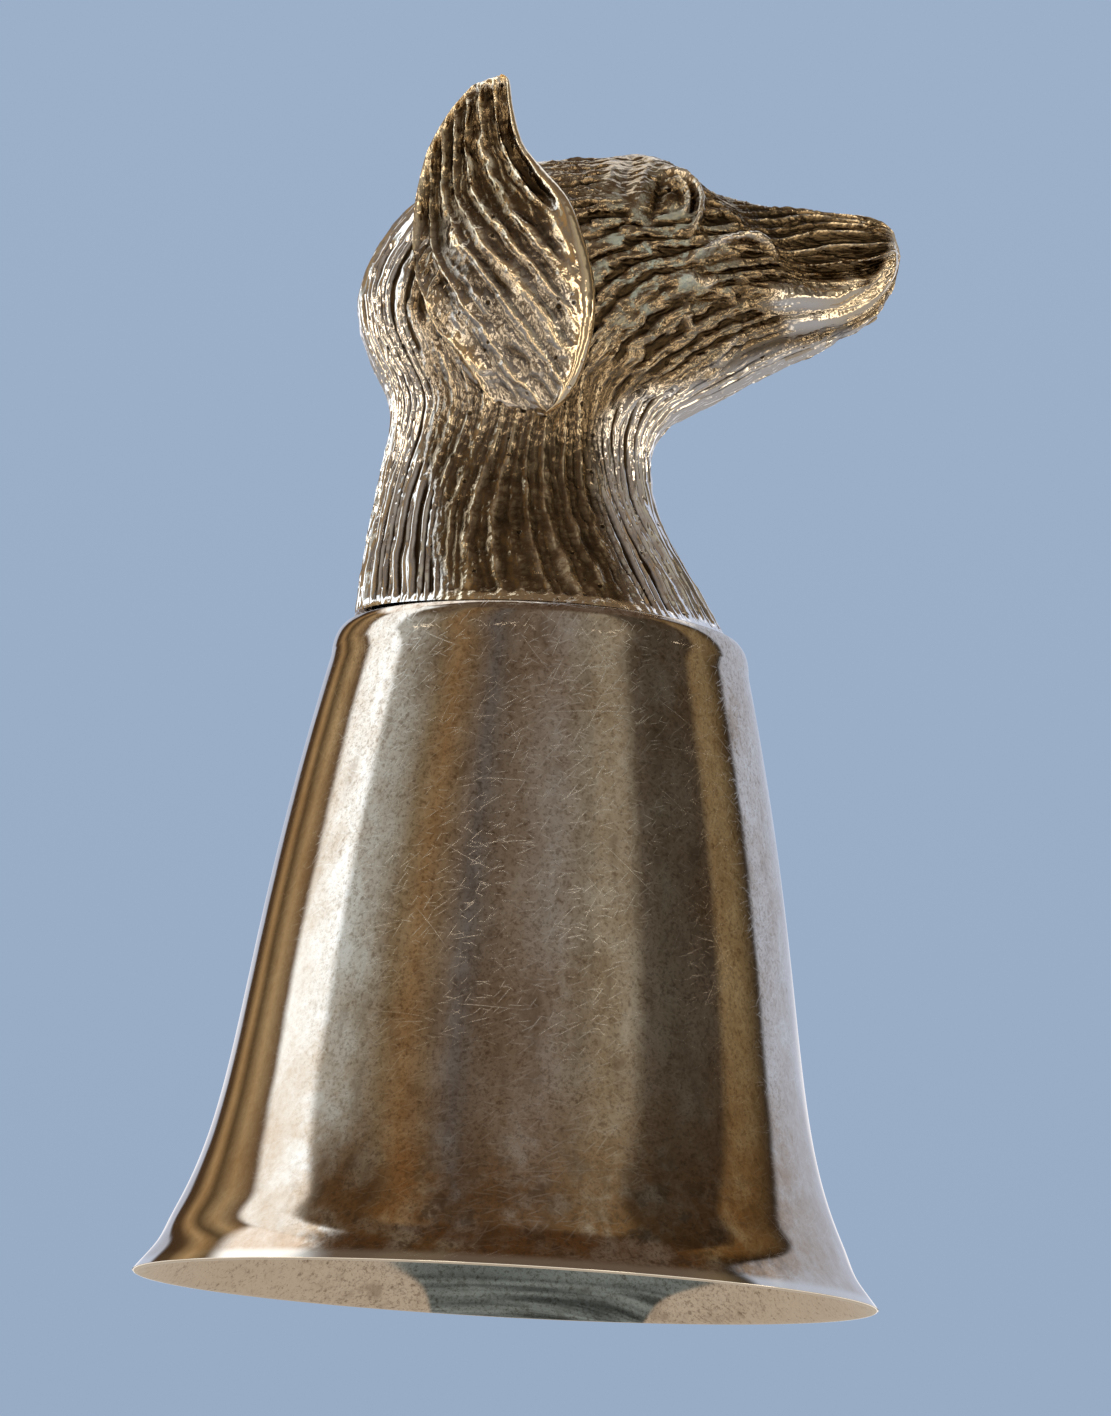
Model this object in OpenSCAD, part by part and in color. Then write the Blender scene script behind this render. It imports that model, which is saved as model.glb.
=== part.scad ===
// Stirrup cup: a spun bell that stands on its rim, with a cast animal's head on its closed end.
// Millimetres. +Z is up, the origin is the centre of the rim, and the muzzle points along +X.

/* [Bowl] */
// Outside diameter of the rim
rim_d = 76; // [72:0.5:82]
// Height from the rim to the flat seat of the head
bowl_h = 67.6; // [62:0.2:74]
// Outside diameter of the flat seat
seat_d = 40.4; // [39.2:0.2:41]
// Outside diameter of the wall just below the rounded shoulder
shoulder_d = 43.2; // [42.6:0.2:46]
// Height of the rounded shoulder
shoulder_h = 3; // [2:0.1:4]
// How far the flare draws in from the rim
flare_in = 11; // [8:0.2:13]
// Height over which the flare draws in
flare_h = 15; // [12:0.5:24]
// How far the body swells out past the shoulder
swell_out = 9.2; // [6:0.1:10]
// Depth of the swelling below the shoulder
swell_h = 38.5; // [34:0.5:46]
// Thickness of the spun wall
wall_t = 1.1; // [0.8:0.1:1.4]
// Thickness of the closed end
floor_t = 1.4; // [1:0.1:2]

/* [Neck] */
// Outside diameter of the neck where it stands on the bowl
neck_base_d = 39; // [37:0.2:39.2]
// Front to back size of the neck at its narrowest
neck_depth = 27.6; // [25:0.2:30]
// How far the narrowest place sits behind the axis of the bowl
neck_lean = 3.4; // [2:0.1:4.5]
// Side to side size of the neck at its narrowest
neck_w = 24.4; // [22:0.2:28]
// Height of the throat above the seat
throat_h = 20; // [18:0.2:22]

/* [Head] */
// Reach of the nose in front of the throat
muzzle_l = 25; // [22:0.2:28]
// Height of the brow above the throat
brow_h = 31.6; // [29:0.2:35]
// How far the back of the head stands out behind the neck
poll_out = 3.9; // [2:0.1:5]
// Side to side size across the cheeks
cheek_w = 26.4; // [24:0.2:29]
// Side to side size across the muzzle, near the nose
muzzle_w = 11.6; // [9:0.2:14]
// Thickness of the castings
cast_t = 2.4; // [1.8:0.1:3]

/* [Ears] */
// How far behind the throat the lowest point of an ear lies
ear_set_back = 11.1; // [9:0.1:13]
// How far above the throat the lowest point of an ear lies
ear_rise = 1; // [0:0.1:3]
// Length of an ear from its lowest point to its tip
ear_l = 36; // [32:0.5:40]
// Width of an ear at its widest
ear_w = 18.4; // [16:0.2:21]
// Thickness of an ear at its raised front edge
ear_rim_t = 2.4; // [1.6:0.1:3]
// Thickness of an ear at its back edge
ear_back_t = 0.8; // [0.6:0.1:1.2]
// Distance between the inner faces of the two tips
ear_spread = 18.4; // [16:0.2:21]
// Film of solder between an ear and the cheek
solder_gap = 0.15; // [0.12:0.01:0.25]

/* [Fixing] */
// Diameter of the stud
stud_d = 5; // [4:0.5:6]
// Clearance of the stud in the hole of the closed end
stud_clear = 0.5; // [0.2:0.1:1]
// Fit of the stud in the bridge and the nut
thread_gap = 0.1; // [0.06:0.02:0.2]
// Thickness of the bridge plate
bridge_t = 2; // [1.5:0.1:2.6]
// Diameter of the boss on the bridge
boss_d = 11; // [9:0.5:14]
// Height of the boss above the plate
boss_h = 5; // [4:0.5:8]
// Film of solder round the bridge plate
braze_gap = 0.3; // [0.2:0.05:0.5]
// Outside diameter of the sealing washer
washer_d = 13; // [11:0.5:16]
// Thickness of the sealing washer
washer_t = 1; // [0.6:0.1:1.6]
// Size of the nut across its flats
nut_af = 8; // [7.5:0.5:10]
// Height of the hexagon of the nut
nut_h = 4; // [3:0.5:6]
// Width of the chamfered step between the hexagon and the dome of the nut
dome_step = 0.3; // [0.1:0.1:0.6]

/* [Hidden] */

$fn = 96;
polished = "#b9ab97";
cast_silver = "#a08c72";
turned_brass = "#b5924c";
fibre = "#5b3a2a";

rim_r = rim_d / 2;
seat_r = seat_d / 2;
shoulder_r = shoulder_d / 2;
shoulder_z = bowl_h - shoulder_h;
floor_z = bowl_h - floor_t;
stud_r = stud_d / 2;
stud_hole_r = stud_r + stud_clear;
thread_r = stud_r + thread_gap;

function mix(a, b, t) = a + (b - a) * t;
function smooth_step(t) = t * t * (3 - 2 * t);

// Bowl: one Bezier curve from the rim to the shoulder, then a quarter ellipse onto the seat.
wall_steps = 22;
shoulder_steps = 6;
wall_poles = [[rim_r, 0], [rim_r - flare_in, flare_h],
              [shoulder_r + swell_out, shoulder_z - swell_h], [shoulder_r, shoulder_z]];
function wall_at(t) = pow(1 - t, 3) * wall_poles[0] + 3 * t * pow(1 - t, 2) * wall_poles[1]
                      + 3 * t * t * (1 - t) * wall_poles[2] + pow(t, 3) * wall_poles[3];
function wall_run(t) = 3 * pow(1 - t, 2) * (wall_poles[1] - wall_poles[0])
                       + 6 * t * (1 - t) * (wall_poles[2] - wall_poles[1])
                       + 3 * t * t * (wall_poles[3] - wall_poles[2]);
function wall_inward(t) = let (d = wall_run(t)) [-d[1], d[0]] / norm(d);
function rim_inside(t) = let (p = wall_at(t) + wall_t * wall_inward(t)) [p[0], max(0, p[1])];
function shoulder_at(a, inset, drop) = [seat_r - inset + (shoulder_r - seat_r) * cos(a),
                                        shoulder_z + (shoulder_h - drop) * sin(a)];

module cup_bowl() {
  outside = concat([for (i = [0 : wall_steps]) wall_at(i / wall_steps)],
                   [for (i = [1 : shoulder_steps]) shoulder_at(90 * i / shoulder_steps, 0, 0)]);
  inside = concat([for (i = [0 : wall_steps - 1]) rim_inside(i / wall_steps)],
                  [for (i = [0 : shoulder_steps]) shoulder_at(90 * i / shoulder_steps, wall_t, floor_t)]);
  closed_end = [[stud_hole_r, bowl_h], [stud_hole_r, floor_z]];
  color(polished) rotate_extrude()
    polygon(concat(outside, closed_end, [for (i = [len(inside) - 1 : -1 : 0]) inside[i]]));
}

// Head: a table of offsets, as for a boat's hull. Each station is a line across the head in the
// median plane, from the throat or jaw to the nape or crown, with its half width.
neck_r = neck_base_d / 2;
throat_x = neck_depth / 2 - neck_lean;
nape_x = -neck_depth / 2 - neck_lean;
poll_x = nape_x - poll_out;
nose_x = throat_x + muzzle_l;
neck_hw = neck_w / 2;
cheek_hw = cheek_w / 2;
muzzle_hw = muzzle_w / 2;
// Places along the muzzle, heights above the throat and widths of the cheek as parts of those sizes
function jaw_x(part) = throat_x + muzzle_l * part;
function above(part) = throat_h + brow_h * part;
function face_hw(part) = mix(muzzle_hw, cheek_hw, part);
// Columns: front x, front height, back x, back height, half width
stations = [
  [neck_r, 0, -neck_r, 0, neck_r],
  [mix(neck_r, throat_x, 0.34), throat_h * 0.26, mix(-neck_r, nape_x, 0.12), throat_h * 0.25,
   mix(neck_r, neck_hw, 0.3)],
  [mix(neck_r, throat_x, 0.67), throat_h * 0.49, mix(-neck_r, nape_x, 0.38), throat_h * 0.52,
   mix(neck_r, neck_hw, 0.6)],
  [mix(neck_r, throat_x, 0.91), throat_h * 0.71, mix(-neck_r, nape_x, 0.7), throat_h * 0.78,
   mix(neck_r, neck_hw, 0.87)],
  [throat_x, throat_h * 0.93, nape_x, above(0.01), neck_hw],
  [jaw_x(0.01), above(0.04), nape_x, above(0.12), neck_hw],
  [jaw_x(0.08), above(0.122), mix(nape_x, poll_x, 0.5), above(0.25), mix(neck_hw, cheek_hw, 0.3)],
  [jaw_x(0.17), above(0.17), mix(nape_x, poll_x, 0.92), above(0.375), mix(neck_hw, cheek_hw, 0.7)],
  [jaw_x(0.26), above(0.212), poll_x, above(0.5), cheek_hw],
  [jaw_x(0.34), above(0.247), mix(nape_x, poll_x, 0.6), above(0.645), cheek_hw],
  [jaw_x(0.42), above(0.287), mix(throat_x, nape_x, 0.96), above(0.795), face_hw(0.96)],
  [jaw_x(0.5), above(0.322), mix(throat_x, nape_x, 0.74), above(0.92), face_hw(0.88)],
  [jaw_x(0.58), above(0.355), mix(throat_x, nape_x, 0.47), above(0.965), face_hw(0.78)],
  [jaw_x(0.66), above(0.385), mix(throat_x, nape_x, 0.22), above(0.995), face_hw(0.64)],
  [jaw_x(0.72), above(0.413), jaw_x(-0.04), above(1), face_hw(0.48)],
  [jaw_x(0.77), above(0.437), jaw_x(0.14), above(0.915), face_hw(0.3)],
  [jaw_x(0.82), above(0.46), jaw_x(0.34), above(0.875), face_hw(0.17)],
  [jaw_x(0.87), above(0.488), jaw_x(0.56), above(0.865), face_hw(0.08)],
  [jaw_x(0.92), above(0.525), jaw_x(0.74), above(0.857), muzzle_hw],
  [jaw_x(0.96), above(0.585), jaw_x(0.87), above(0.845), muzzle_hw * 0.86],
  [jaw_x(0.985), above(0.645), jaw_x(0.95), above(0.815), muzzle_hw * 0.62],
  [nose_x, above(0.73), nose_x, above(0.73), 0]
];
last_station = len(stations) - 1;
section_points = 18;
rings_per_station = 2;
rings = last_station * rings_per_station;
// The sides of the head are a little flatter than an ellipse; the neck's foot is round.
flat_side = 0.82;
round_stations = 6;
// The cavity stops short of the nose and closes there in a rounded end.
cavity_share = 0.93;
cavity_power = 8;

function station(i) = stations[max(0, min(last_station, i))];
function curve(a, b, c, d, t) = 0.5 * (2 * b + (c - a) * t + (2 * a - 5 * b + 4 * c - d) * t * t
                                       + (3 * b - a - 3 * c + d) * t * t * t);
function section(s) = let (i = min(last_station - 1, floor(s)))
  curve(station(i - 1), station(i), station(i + 1), station(i + 2), s - i);
function side_power(s) = mix(1, flat_side, smooth_step(min(1, s / round_stations)));
// A point on the skin: s runs up the stations, a from the crown (0) to the jaw (180)
function skin(s, a, inset, close) = let (
  q = section(s),
  mid = [q[0] + q[2], q[1] + q[3]] / 2,
  span = [q[2] - q[0], q[3] - q[1]],
  half = max(0.01, norm(span) / 2 - inset) * close,
  along = span / max(0.01, norm(span)),
  p = mid + along * half * cos(a))
  [p[0], -max(0, q[4] - inset) * close * pow(sin(a), side_power(s)), bowl_h + p[1]];
// Half width of the head at a point of the median plane, for what is seated on its side.
// The station through the point is found by halving the range a number of times.
halvings = 14;
function fan(s, p) = let (q = section(s)) (q[2] - q[0]) * (p[1] - q[1]) - (q[3] - q[1]) * (p[0] - q[0]);
function find_station(p, low, high, n) = let (m = (low + high) / 2)
  n == 0 ? m :
  fan(m, p) > 0 ? find_station(p, low, m, n - 1) : find_station(p, m, high, n - 1);
function half_width(p) = let (
  s = find_station(p, 0, last_station, halvings),
  q = section(s),
  span = [q[2] - q[0], q[3] - q[1]],
  c = 2 * (p - [q[0] + q[2], q[1] + q[3]] / 2) * span / (span * span))
  abs(c) >= 1 ? 0 : q[4] * pow(1 - c * c, side_power(s) / 2);

// One half of the hollow head, open at the foot and flat on the median plane
module head_half() {
  m = section_points;
  row = m + 1;
  skin_count = rings * row;
  nose = 2 * skin_count;
  cavity_end = nose + 1;
  outer = [for (i = [0 : rings - 1], j = [0 : m]) skin(i / rings_per_station, 180 * j / m, 0, 1)];
  inner = [for (i = [0 : rings - 1], j = [0 : m])
    skin(i / rings_per_station * cavity_share, 180 * j / m, cast_t, 1 - pow(i / rings, cavity_power))];
  ends = [skin(last_station, 90, 0, 1), skin(last_station * cavity_share, 90, cast_t, 0)];
  faces_out = [for (i = [0 : rings - 2], j = [0 : m - 1]) let (k = i * row + j)
    each [[k, k + row, k + 1], [k + 1, k + row, k + row + 1]]];
  faces_in = [for (i = [0 : rings - 2], j = [0 : m - 1]) let (k = skin_count + i * row + j)
    each [[k, k + 1, k + row], [k + 1, k + row + 1, k + row]]];
  last = (rings - 1) * row;
  nose_out = [for (j = [0 : m - 1]) [last + j, nose, last + j + 1]];
  nose_in = [for (j = [0 : m - 1]) [skin_count + last + j, skin_count + last + j + 1, cavity_end]];
  crown_seam = [for (i = [0 : rings - 2]) let (k = i * row, c = skin_count + k)
    each [[k, c, k + row], [c, c + row, k + row]]];
  jaw_seam = [for (i = [0 : rings - 2]) let (k = i * row + m, c = skin_count + k)
    each [[k, k + row, c], [c, k + row, c + row]]];
  nose_seam = [[last, skin_count + last, nose], [skin_count + last, cavity_end, nose],
               [last + m, nose, skin_count + last + m], [skin_count + last + m, nose, cavity_end]];
  foot = [for (j = [0 : m - 1]) each [[j, j + 1, skin_count + j],
                                      [j + 1, skin_count + j + 1, skin_count + j]]];
  polyhedron(points = concat(outer, inner, ends),
             faces = concat(faces_out, faces_in, nose_out, nose_in, crown_seam, jaw_seam, nose_seam, foot));
}

module head_right() {
  color(cast_silver) head_half();
}

module head_left() {
  color(cast_silver) mirror([0, 1, 0]) head_half();
}

// Ear: a leaf on the side of the head, in heights above its lowest point.
// Columns: height as a part of the length, back edge and front edge as parts of the width
ear_foot_x = throat_x - ear_set_back;
ear_foot_h = throat_h + ear_rise;
ear_rows = [
  [0, -0.05, 0.04],
  [0.05, -0.29, 0.115],
  [0.13, -0.515, 0.2],
  [0.25, -0.68, 0.23],
  [0.38, -0.775, 0.217],
  [0.5, -0.81, 0.15],
  [0.62, -0.81, 0.055],
  [0.72, -0.785, -0.1],
  [0.8, -0.745, -0.22],
  [0.9, -0.65, -0.285],
  [0.97, -0.53, -0.32],
  [1, -0.45, -0.365]
];
ear_last = len(ear_rows) - 1;
ear_steps_up = 20;
ear_steps_across = 10;
// Width of the soft change from the cheek to the free tip
ear_blend = 2;
// Width of the raised edge as a part of the ear
ear_edge_share = 0.3;
// Depth of the hollow in front of the raised edge
ear_hollow = 0.5;

function ear_row(i) = ear_rows[max(0, min(ear_last, i))];
function ear_section(s) = let (i = min(ear_last - 1, floor(s)))
  curve(ear_row(i - 1), ear_row(i), ear_row(i + 1), ear_row(i + 2), s - i);
function soft_max(a, b, k) = (a + b + sqrt((a - b) * (a - b) + k * k)) / 2;
function ear_place(s, v) = let (q = ear_section(s))
  [ear_foot_x + ear_w * mix(q[1], q[2], v), ear_foot_h + ear_l * q[0]];
function ear_inner_y(p) = soft_max(half_width(p) + solder_gap, ear_spread / 2, ear_blend);
function ear_hollow_share(v) = pow(sin(180 * v), 2) * min(1, (1 - v) / ear_edge_share);
function ear_thickness(v) = mix(ear_back_t, ear_rim_t, smooth_step(v)) - ear_hollow * ear_hollow_share(v);

module ear() {
  n = ear_steps_up;
  m = ear_steps_across;
  row = m + 1;
  count = (n + 1) * row;
  flat = [for (i = [0 : n], j = [0 : m]) ear_place(ear_last * i / n, j / m)];
  inner = [for (p = flat) [p[0], -ear_inner_y(p), bowl_h + p[1]]];
  outer = [for (i = [0 : n], j = [0 : m]) inner[i * row + j] - [0, ear_thickness(j / m), 0]];
  faces_out = [for (i = [0 : n - 1], j = [0 : m - 1]) let (k = i * row + j)
    each [[k, k + row, k + 1], [k + 1, k + row, k + row + 1]]];
  faces_in = [for (f = faces_out) [f[0] + count, f[2] + count, f[1] + count]];
  back_edge = [for (i = [0 : n - 1]) let (k = i * row)
    each [[k, k + count, k + row], [k + row, k + count, k + row + count]]];
  front_edge = [for (i = [0 : n - 1]) let (k = i * row + m)
    each [[k, k + row, k + count], [k + row, k + row + count, k + count]]];
  low_edge = [for (j = [0 : m - 1]) each [[j, j + 1, j + count], [j + 1, j + 1 + count, j + count]]];
  tip_edge = [for (j = [0 : m - 1]) let (k = n * row + j)
    each [[k, k + count, k + 1], [k + 1, k + count, k + 1 + count]]];
  polyhedron(points = concat(outer, inner),
             faces = concat(faces_out, faces_in, back_edge, front_edge, low_edge, tip_edge));
}

module right_ear() {
  color(cast_silver) ear();
}

module left_ear() {
  color(cast_silver) mirror([0, 1, 0]) ear();
}

// Fixing: bridge in the foot of the neck, stud through the closed end, washer and nut in the bowl.
bridge_r = neck_r - cast_t - braze_gap;
// The neck narrows above its foot, so the edge of the bridge is turned to a taper.
bridge_taper = 1.3;
washer_z = floor_z - washer_t;
nut_r = nut_af / sqrt(3);
dome_r = nut_af / 2 - dome_step;
// Holes are cut this far past the faces that they open in.
past = 1;
// The stud stops this far short of the top of the boss and of the bottom of the nut's hexagon.
stud_short = 0.5;

module neck_bridge() {
  color(turned_brass) translate([0, 0, bowl_h]) difference() {
    union() {
      cylinder(h = bridge_t, r1 = bridge_r, r2 = bridge_r - bridge_taper);
      cylinder(h = bridge_t + boss_h, d = boss_d);
    }
    translate([0, 0, -past]) cylinder(h = bridge_t + boss_h + 2 * past, r = thread_r);
  }
}

module fixing_stud() {
  low = washer_z - nut_h + stud_short;
  high = bowl_h + bridge_t + boss_h - stud_short;
  color(turned_brass) translate([0, 0, low]) cylinder(h = high - low, r = stud_r);
}

module seal_washer() {
  color(fibre) translate([0, 0, washer_z]) difference() {
    cylinder(h = washer_t, d = washer_d);
    translate([0, 0, -past]) cylinder(h = washer_t + 2 * past, r = thread_r);
  }
}

module dome_nut() {
  color(turned_brass) translate([0, 0, washer_z]) difference() {
    union() {
      translate([0, 0, -nut_h]) cylinder(h = nut_h, r = nut_r, $fn = 6);
      translate([0, 0, -nut_h]) sphere(r = dome_r);
    }
    translate([0, 0, -nut_h]) cylinder(h = nut_h + past, r = thread_r);
  }
}

cup_bowl();
head_right();
head_left();
right_ear();
left_ear();
neck_bridge();
fixing_stud();
seal_washer();
dome_nut();
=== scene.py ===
# %% [markdown]
# # A stirrup cup with an animal's head
# A stirrup cup has no foot: it is drunk from and put down empty, mouth down, so that it stands on its rim
# with the head on top. The construction is packed already, at its real size. This lesson gives each piece
# its surface: the spun and polished bowl, the cast head with its carved coat, and the leaf-shaped ears.

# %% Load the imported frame
import math

import bpy
import numpy as np
from mathutils import Matrix, Vector


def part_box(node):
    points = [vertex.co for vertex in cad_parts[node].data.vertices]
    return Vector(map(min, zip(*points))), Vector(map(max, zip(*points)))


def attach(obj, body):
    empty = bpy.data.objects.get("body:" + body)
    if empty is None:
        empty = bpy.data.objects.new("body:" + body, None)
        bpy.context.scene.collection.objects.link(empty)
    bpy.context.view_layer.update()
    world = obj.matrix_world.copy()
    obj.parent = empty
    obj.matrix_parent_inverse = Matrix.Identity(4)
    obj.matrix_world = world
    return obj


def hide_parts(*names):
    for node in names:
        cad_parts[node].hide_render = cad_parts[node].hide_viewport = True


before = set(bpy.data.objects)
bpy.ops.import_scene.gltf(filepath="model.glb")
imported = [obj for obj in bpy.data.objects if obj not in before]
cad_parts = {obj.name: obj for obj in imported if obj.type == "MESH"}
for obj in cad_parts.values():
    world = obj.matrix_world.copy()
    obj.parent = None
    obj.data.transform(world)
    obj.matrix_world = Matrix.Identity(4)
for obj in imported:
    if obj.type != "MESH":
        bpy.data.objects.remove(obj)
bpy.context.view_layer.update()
MM = 0.001

# %% [markdown]
# ## Camera
# The photograph looks up from a little below the rim, so that a sliver of the inside shows. The place, tilt
# and lens were fitted to the ellipse of the rim and to the edge of the closed end. A long lens keeps the
# sides of the bowl nearly parallel, as they are in the picture.

# %% Place the camera
CAMERA_PLACE = Vector((0, -550.3, -37.8)) * MM
CAMERA_TILT = math.radians(10.13)
CAMERA_YAW = math.radians(0.19)
CAMERA_ROLL = math.radians(3.16)
LENS_MM = 137.5
SENSOR_MM = 36

ahead = Vector((math.sin(CAMERA_YAW) * math.cos(CAMERA_TILT), math.cos(CAMERA_YAW) * math.cos(CAMERA_TILT),
                math.sin(CAMERA_TILT)))
level_right = Vector((math.cos(CAMERA_YAW), -math.sin(CAMERA_YAW), 0))
level_up = level_right.cross(ahead)
right = math.cos(CAMERA_ROLL) * level_right + math.sin(CAMERA_ROLL) * level_up
up = math.cos(CAMERA_ROLL) * level_up - math.sin(CAMERA_ROLL) * level_right
camera = bpy.data.objects.new("camera", bpy.data.cameras.new("camera"))
camera.data.lens = LENS_MM
camera.data.sensor_width = SENSOR_MM
camera.data.clip_start = 0.01
camera.matrix_world = Matrix.Translation(CAMERA_PLACE) @ Matrix((right, up, -ahead)).transposed().to_4x4()
bpy.context.scene.collection.objects.link(camera)
bpy.context.scene.camera = camera
bpy.context.scene.view_settings.view_transform = "Standard"
print("camera at", [round(c / MM, 1) for c in CAMERA_PLACE], "mm, lens", LENS_MM, "mm")

# %% [markdown]
# ## Small helpers for node trees
# Both finishes and shapes are built from nodes here. A result of a node is wrapped as a Number, so that
# sums can be written as sums: every sign in them adds one Math node. The other helpers make the ranges,
# noises and colour mixes that come up again and again.


# %% Numbers that come out of nodes
class Number:
    """A result of a node. It stands on the left in products and quotients."""

    def __init__(self, socket):
        self.socket = socket

    def __add__(self, other):
        return calc("ADD", self, other)

    def __sub__(self, other):
        return calc("SUBTRACT", self, other)

    def __rsub__(self, other):
        return calc("SUBTRACT", other, self)

    def __mul__(self, other):
        return calc("MULTIPLY", self, other)

    def __truediv__(self, other):
        return calc("DIVIDE", self, other)


def tree_of(*values):
    """The tree of the first Number among some values."""
    return next(value.socket.id_data for value in values if isinstance(value, Number))


def add(tree, kind, inputs=None, **settings):
    """One node; its inputs are plain values or the Numbers that feed them."""
    made = tree.nodes.new(kind)
    for name, value in settings.items():
        setattr(made, name, value)
    for key, value in (inputs or {}).items():
        if isinstance(value, Number):
            tree.links.new(value.socket, made.inputs[key])
        else:
            made.inputs[key].default_value = value
    return made


def get(tree, kind, inputs=None, out=0, **settings):
    """One result of a new node."""
    return Number(add(tree, kind, inputs, **settings).outputs[out])


def calc(operation, *values, clamp=False):
    """The result of one Math node."""
    inputs = dict(enumerate(values))
    return get(tree_of(*values), "ShaderNodeMath", inputs, operation=operation, use_clamp=clamp)


def largest(first, second):
    return calc("MAXIMUM", first, second)


def split(value, kind="XYZ"):
    """The three parts of a vector or of a Color."""
    return [Number(part) for part in add(tree_of(value), "ShaderNodeSeparate" + kind, {0: value}).outputs]


# %% Ranges, noises and colours
def move(operation, first, second):
    """The result of one Vector Math node."""
    return get(tree_of(first), "ShaderNodeVectorMath", {0: first, 1: second}, operation=operation)


def distance_from_origin(vector):
    return get(tree_of(vector), "ShaderNodeVectorMath", {0: vector}, "Value", operation="LENGTH")


def spread(value, low, high, to_low=0.0, to_high=1.0):
    """Maps the range low to high smoothly onto another range."""
    inputs = {"Value": value, 1: low, 2: high, 3: to_low, 4: to_high}
    return get(tree_of(value), "ShaderNodeMapRange", inputs, interpolation_type="SMOOTHSTEP")


def fall(value, low, high):
    """1 below the range low to high, 0 above it."""
    return spread(value, low, high, 1.0, 0.0)


def noise(vector, scale, detail=3.0, roughness=0.55, distortion=0.0):
    """A noise between 0 and 1."""
    inputs = {"Vector": vector, "Scale": scale, "Detail": detail, "Roughness": roughness,
              "Distortion": distortion}
    return get(tree_of(vector), "ShaderNodeTexNoise", inputs, "Fac")


def tint(factor, low, high):
    """A colour between two colours, each given as RGB or as a Number."""
    low, high = (colour if isinstance(colour, Number) else (*colour, 1) for colour in (low, high))
    return get(tree_of(factor), "ShaderNodeMix", {0: factor, 6: low, 7: high}, 2, data_type="RGBA")


# %% Finishes
def new_finish(name, **constants):
    """An empty finish: its tree, its shader and its Object coordinates in millimetres."""
    finish = bpy.data.materials.new(name)
    finish.use_nodes = True
    tree = finish.node_tree
    shader = tree.nodes["Principled BSDF"]
    for socket, value in constants.items():
        shader.inputs[socket.replace("_", " ")].default_value = value
    place = get(tree, "ShaderNodeTexCoord", out="Object")
    return finish, tree, shader, move("MULTIPLY", place, (1 / MM,) * 3)


def read(tree, attribute):
    """A number that a piece carries on its own surface."""
    return get(tree, "ShaderNodeAttribute", out="Fac", attribute_name=attribute)


def ray(tree, kind):
    """1 where the light is followed by one kind of ray."""
    return get(tree, "ShaderNodeLightPath", out=kind)


def feed(value, node, socket):
    node.id_data.links.new(value.socket, node.inputs[socket])


def bump(shader, height, distance):
    """Raises a surface by a height between 0 and 1, times a distance in metres."""
    inputs = {"Height": height, "Distance": distance, "Strength": 1.0}
    feed(get(tree_of(height), "ShaderNodeBump", inputs), shader, "Normal")


# %% [markdown]
# ## The finish of the bowl
# The bowl is silver plate, polished once and tarnished since: a warm grey with brown clouds, darker specks,
# rust and spots low down, a rim worn bright, and a web of hair scratches from wiping. A scratch could be
# painted as a picture, but a Voronoi texture gives a new one for each cell: the cell's centre and random
# colour set a place and a direction, and the distance to that line draws it. Eight sizes of cell give the
# short hairs and the few long ones.

# %% Scratches
# Hair scratches: size of the cells, width, shift of the pattern (mm), lean and its spread (degrees), strength
HAIRS = [(16.0, 0.08, 0.0, -20, 70, 0.85), (8.0, 0.09, 67.0, 150, 60, 0.8), (4.5, 0.10, 31.0, 35, 70, 0.75),
         (3.0, 0.11, 12.0, 40, 50, 0.75), (2.4, 0.11, 83.0, 25, 50, 0.75), (2.0, 0.11, 45.0, 0, 50, 0.7),
         (1.6, 0.11, 5.0, 40, 50, 0.7), (1.3, 0.10, 59.0, -15, 50, 0.65)]
HAIR_BEND = 0.25


def hairs(flat, cell_mm, width_mm, shift, lean, fan):
    """Scratches: one bent line in each cell of a Voronoi texture, leaning by about the same angle."""
    moved = move("ADD", flat, (shift, shift * 1.7, 0))
    inputs = {"Vector": moved, "Scale": 1 / cell_mm}
    cells = add(tree_of(moved), "ShaderNodeTexVoronoi", inputs, voronoi_dimensions="2D").outputs
    x, y, _ = split(move("SUBTRACT", moved, Number(cells["Position"])))
    lean_chance, strength_chance, bend_chance = split(Number(cells["Color"]), "Color")
    angle = lean_chance * math.radians(fan) + math.radians(lean - fan / 2)
    sine, cosine = calc("SINE", angle), calc("COSINE", angle)
    along = x * cosine + y * sine
    across = x * sine - y * cosine + (bend_chance - 0.5) * (along * along * (HAIR_BEND / cell_mm))
    line = fall(calc("ABSOLUTE", across), 0.0, width_mm)
    ends = fall(calc("ABSOLUTE", along), 0.15 * cell_mm, 0.5 * cell_mm)
    return line * ends * spread(strength_chance, 0.1, 0.65)


print("scratches:", len(HAIRS), "sizes of cells")

# %% Polished plate
PLATE_AROUND_MM = 176
PLATE_WAVES = 0.00006
PLATE_SILVER = (0.78, 0.74, 0.68)
PLATE_BROWN = (0.45, 0.325, 0.215)
PLATE_RUST = (0.40, 0.235, 0.11)
PLATE_SPECK = (0.20, 0.14, 0.09)
PLATE_SCRATCH = (0.92, 0.89, 0.84)
PLATE_INSIDE = (0.84, 0.76, 0.68)


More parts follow.
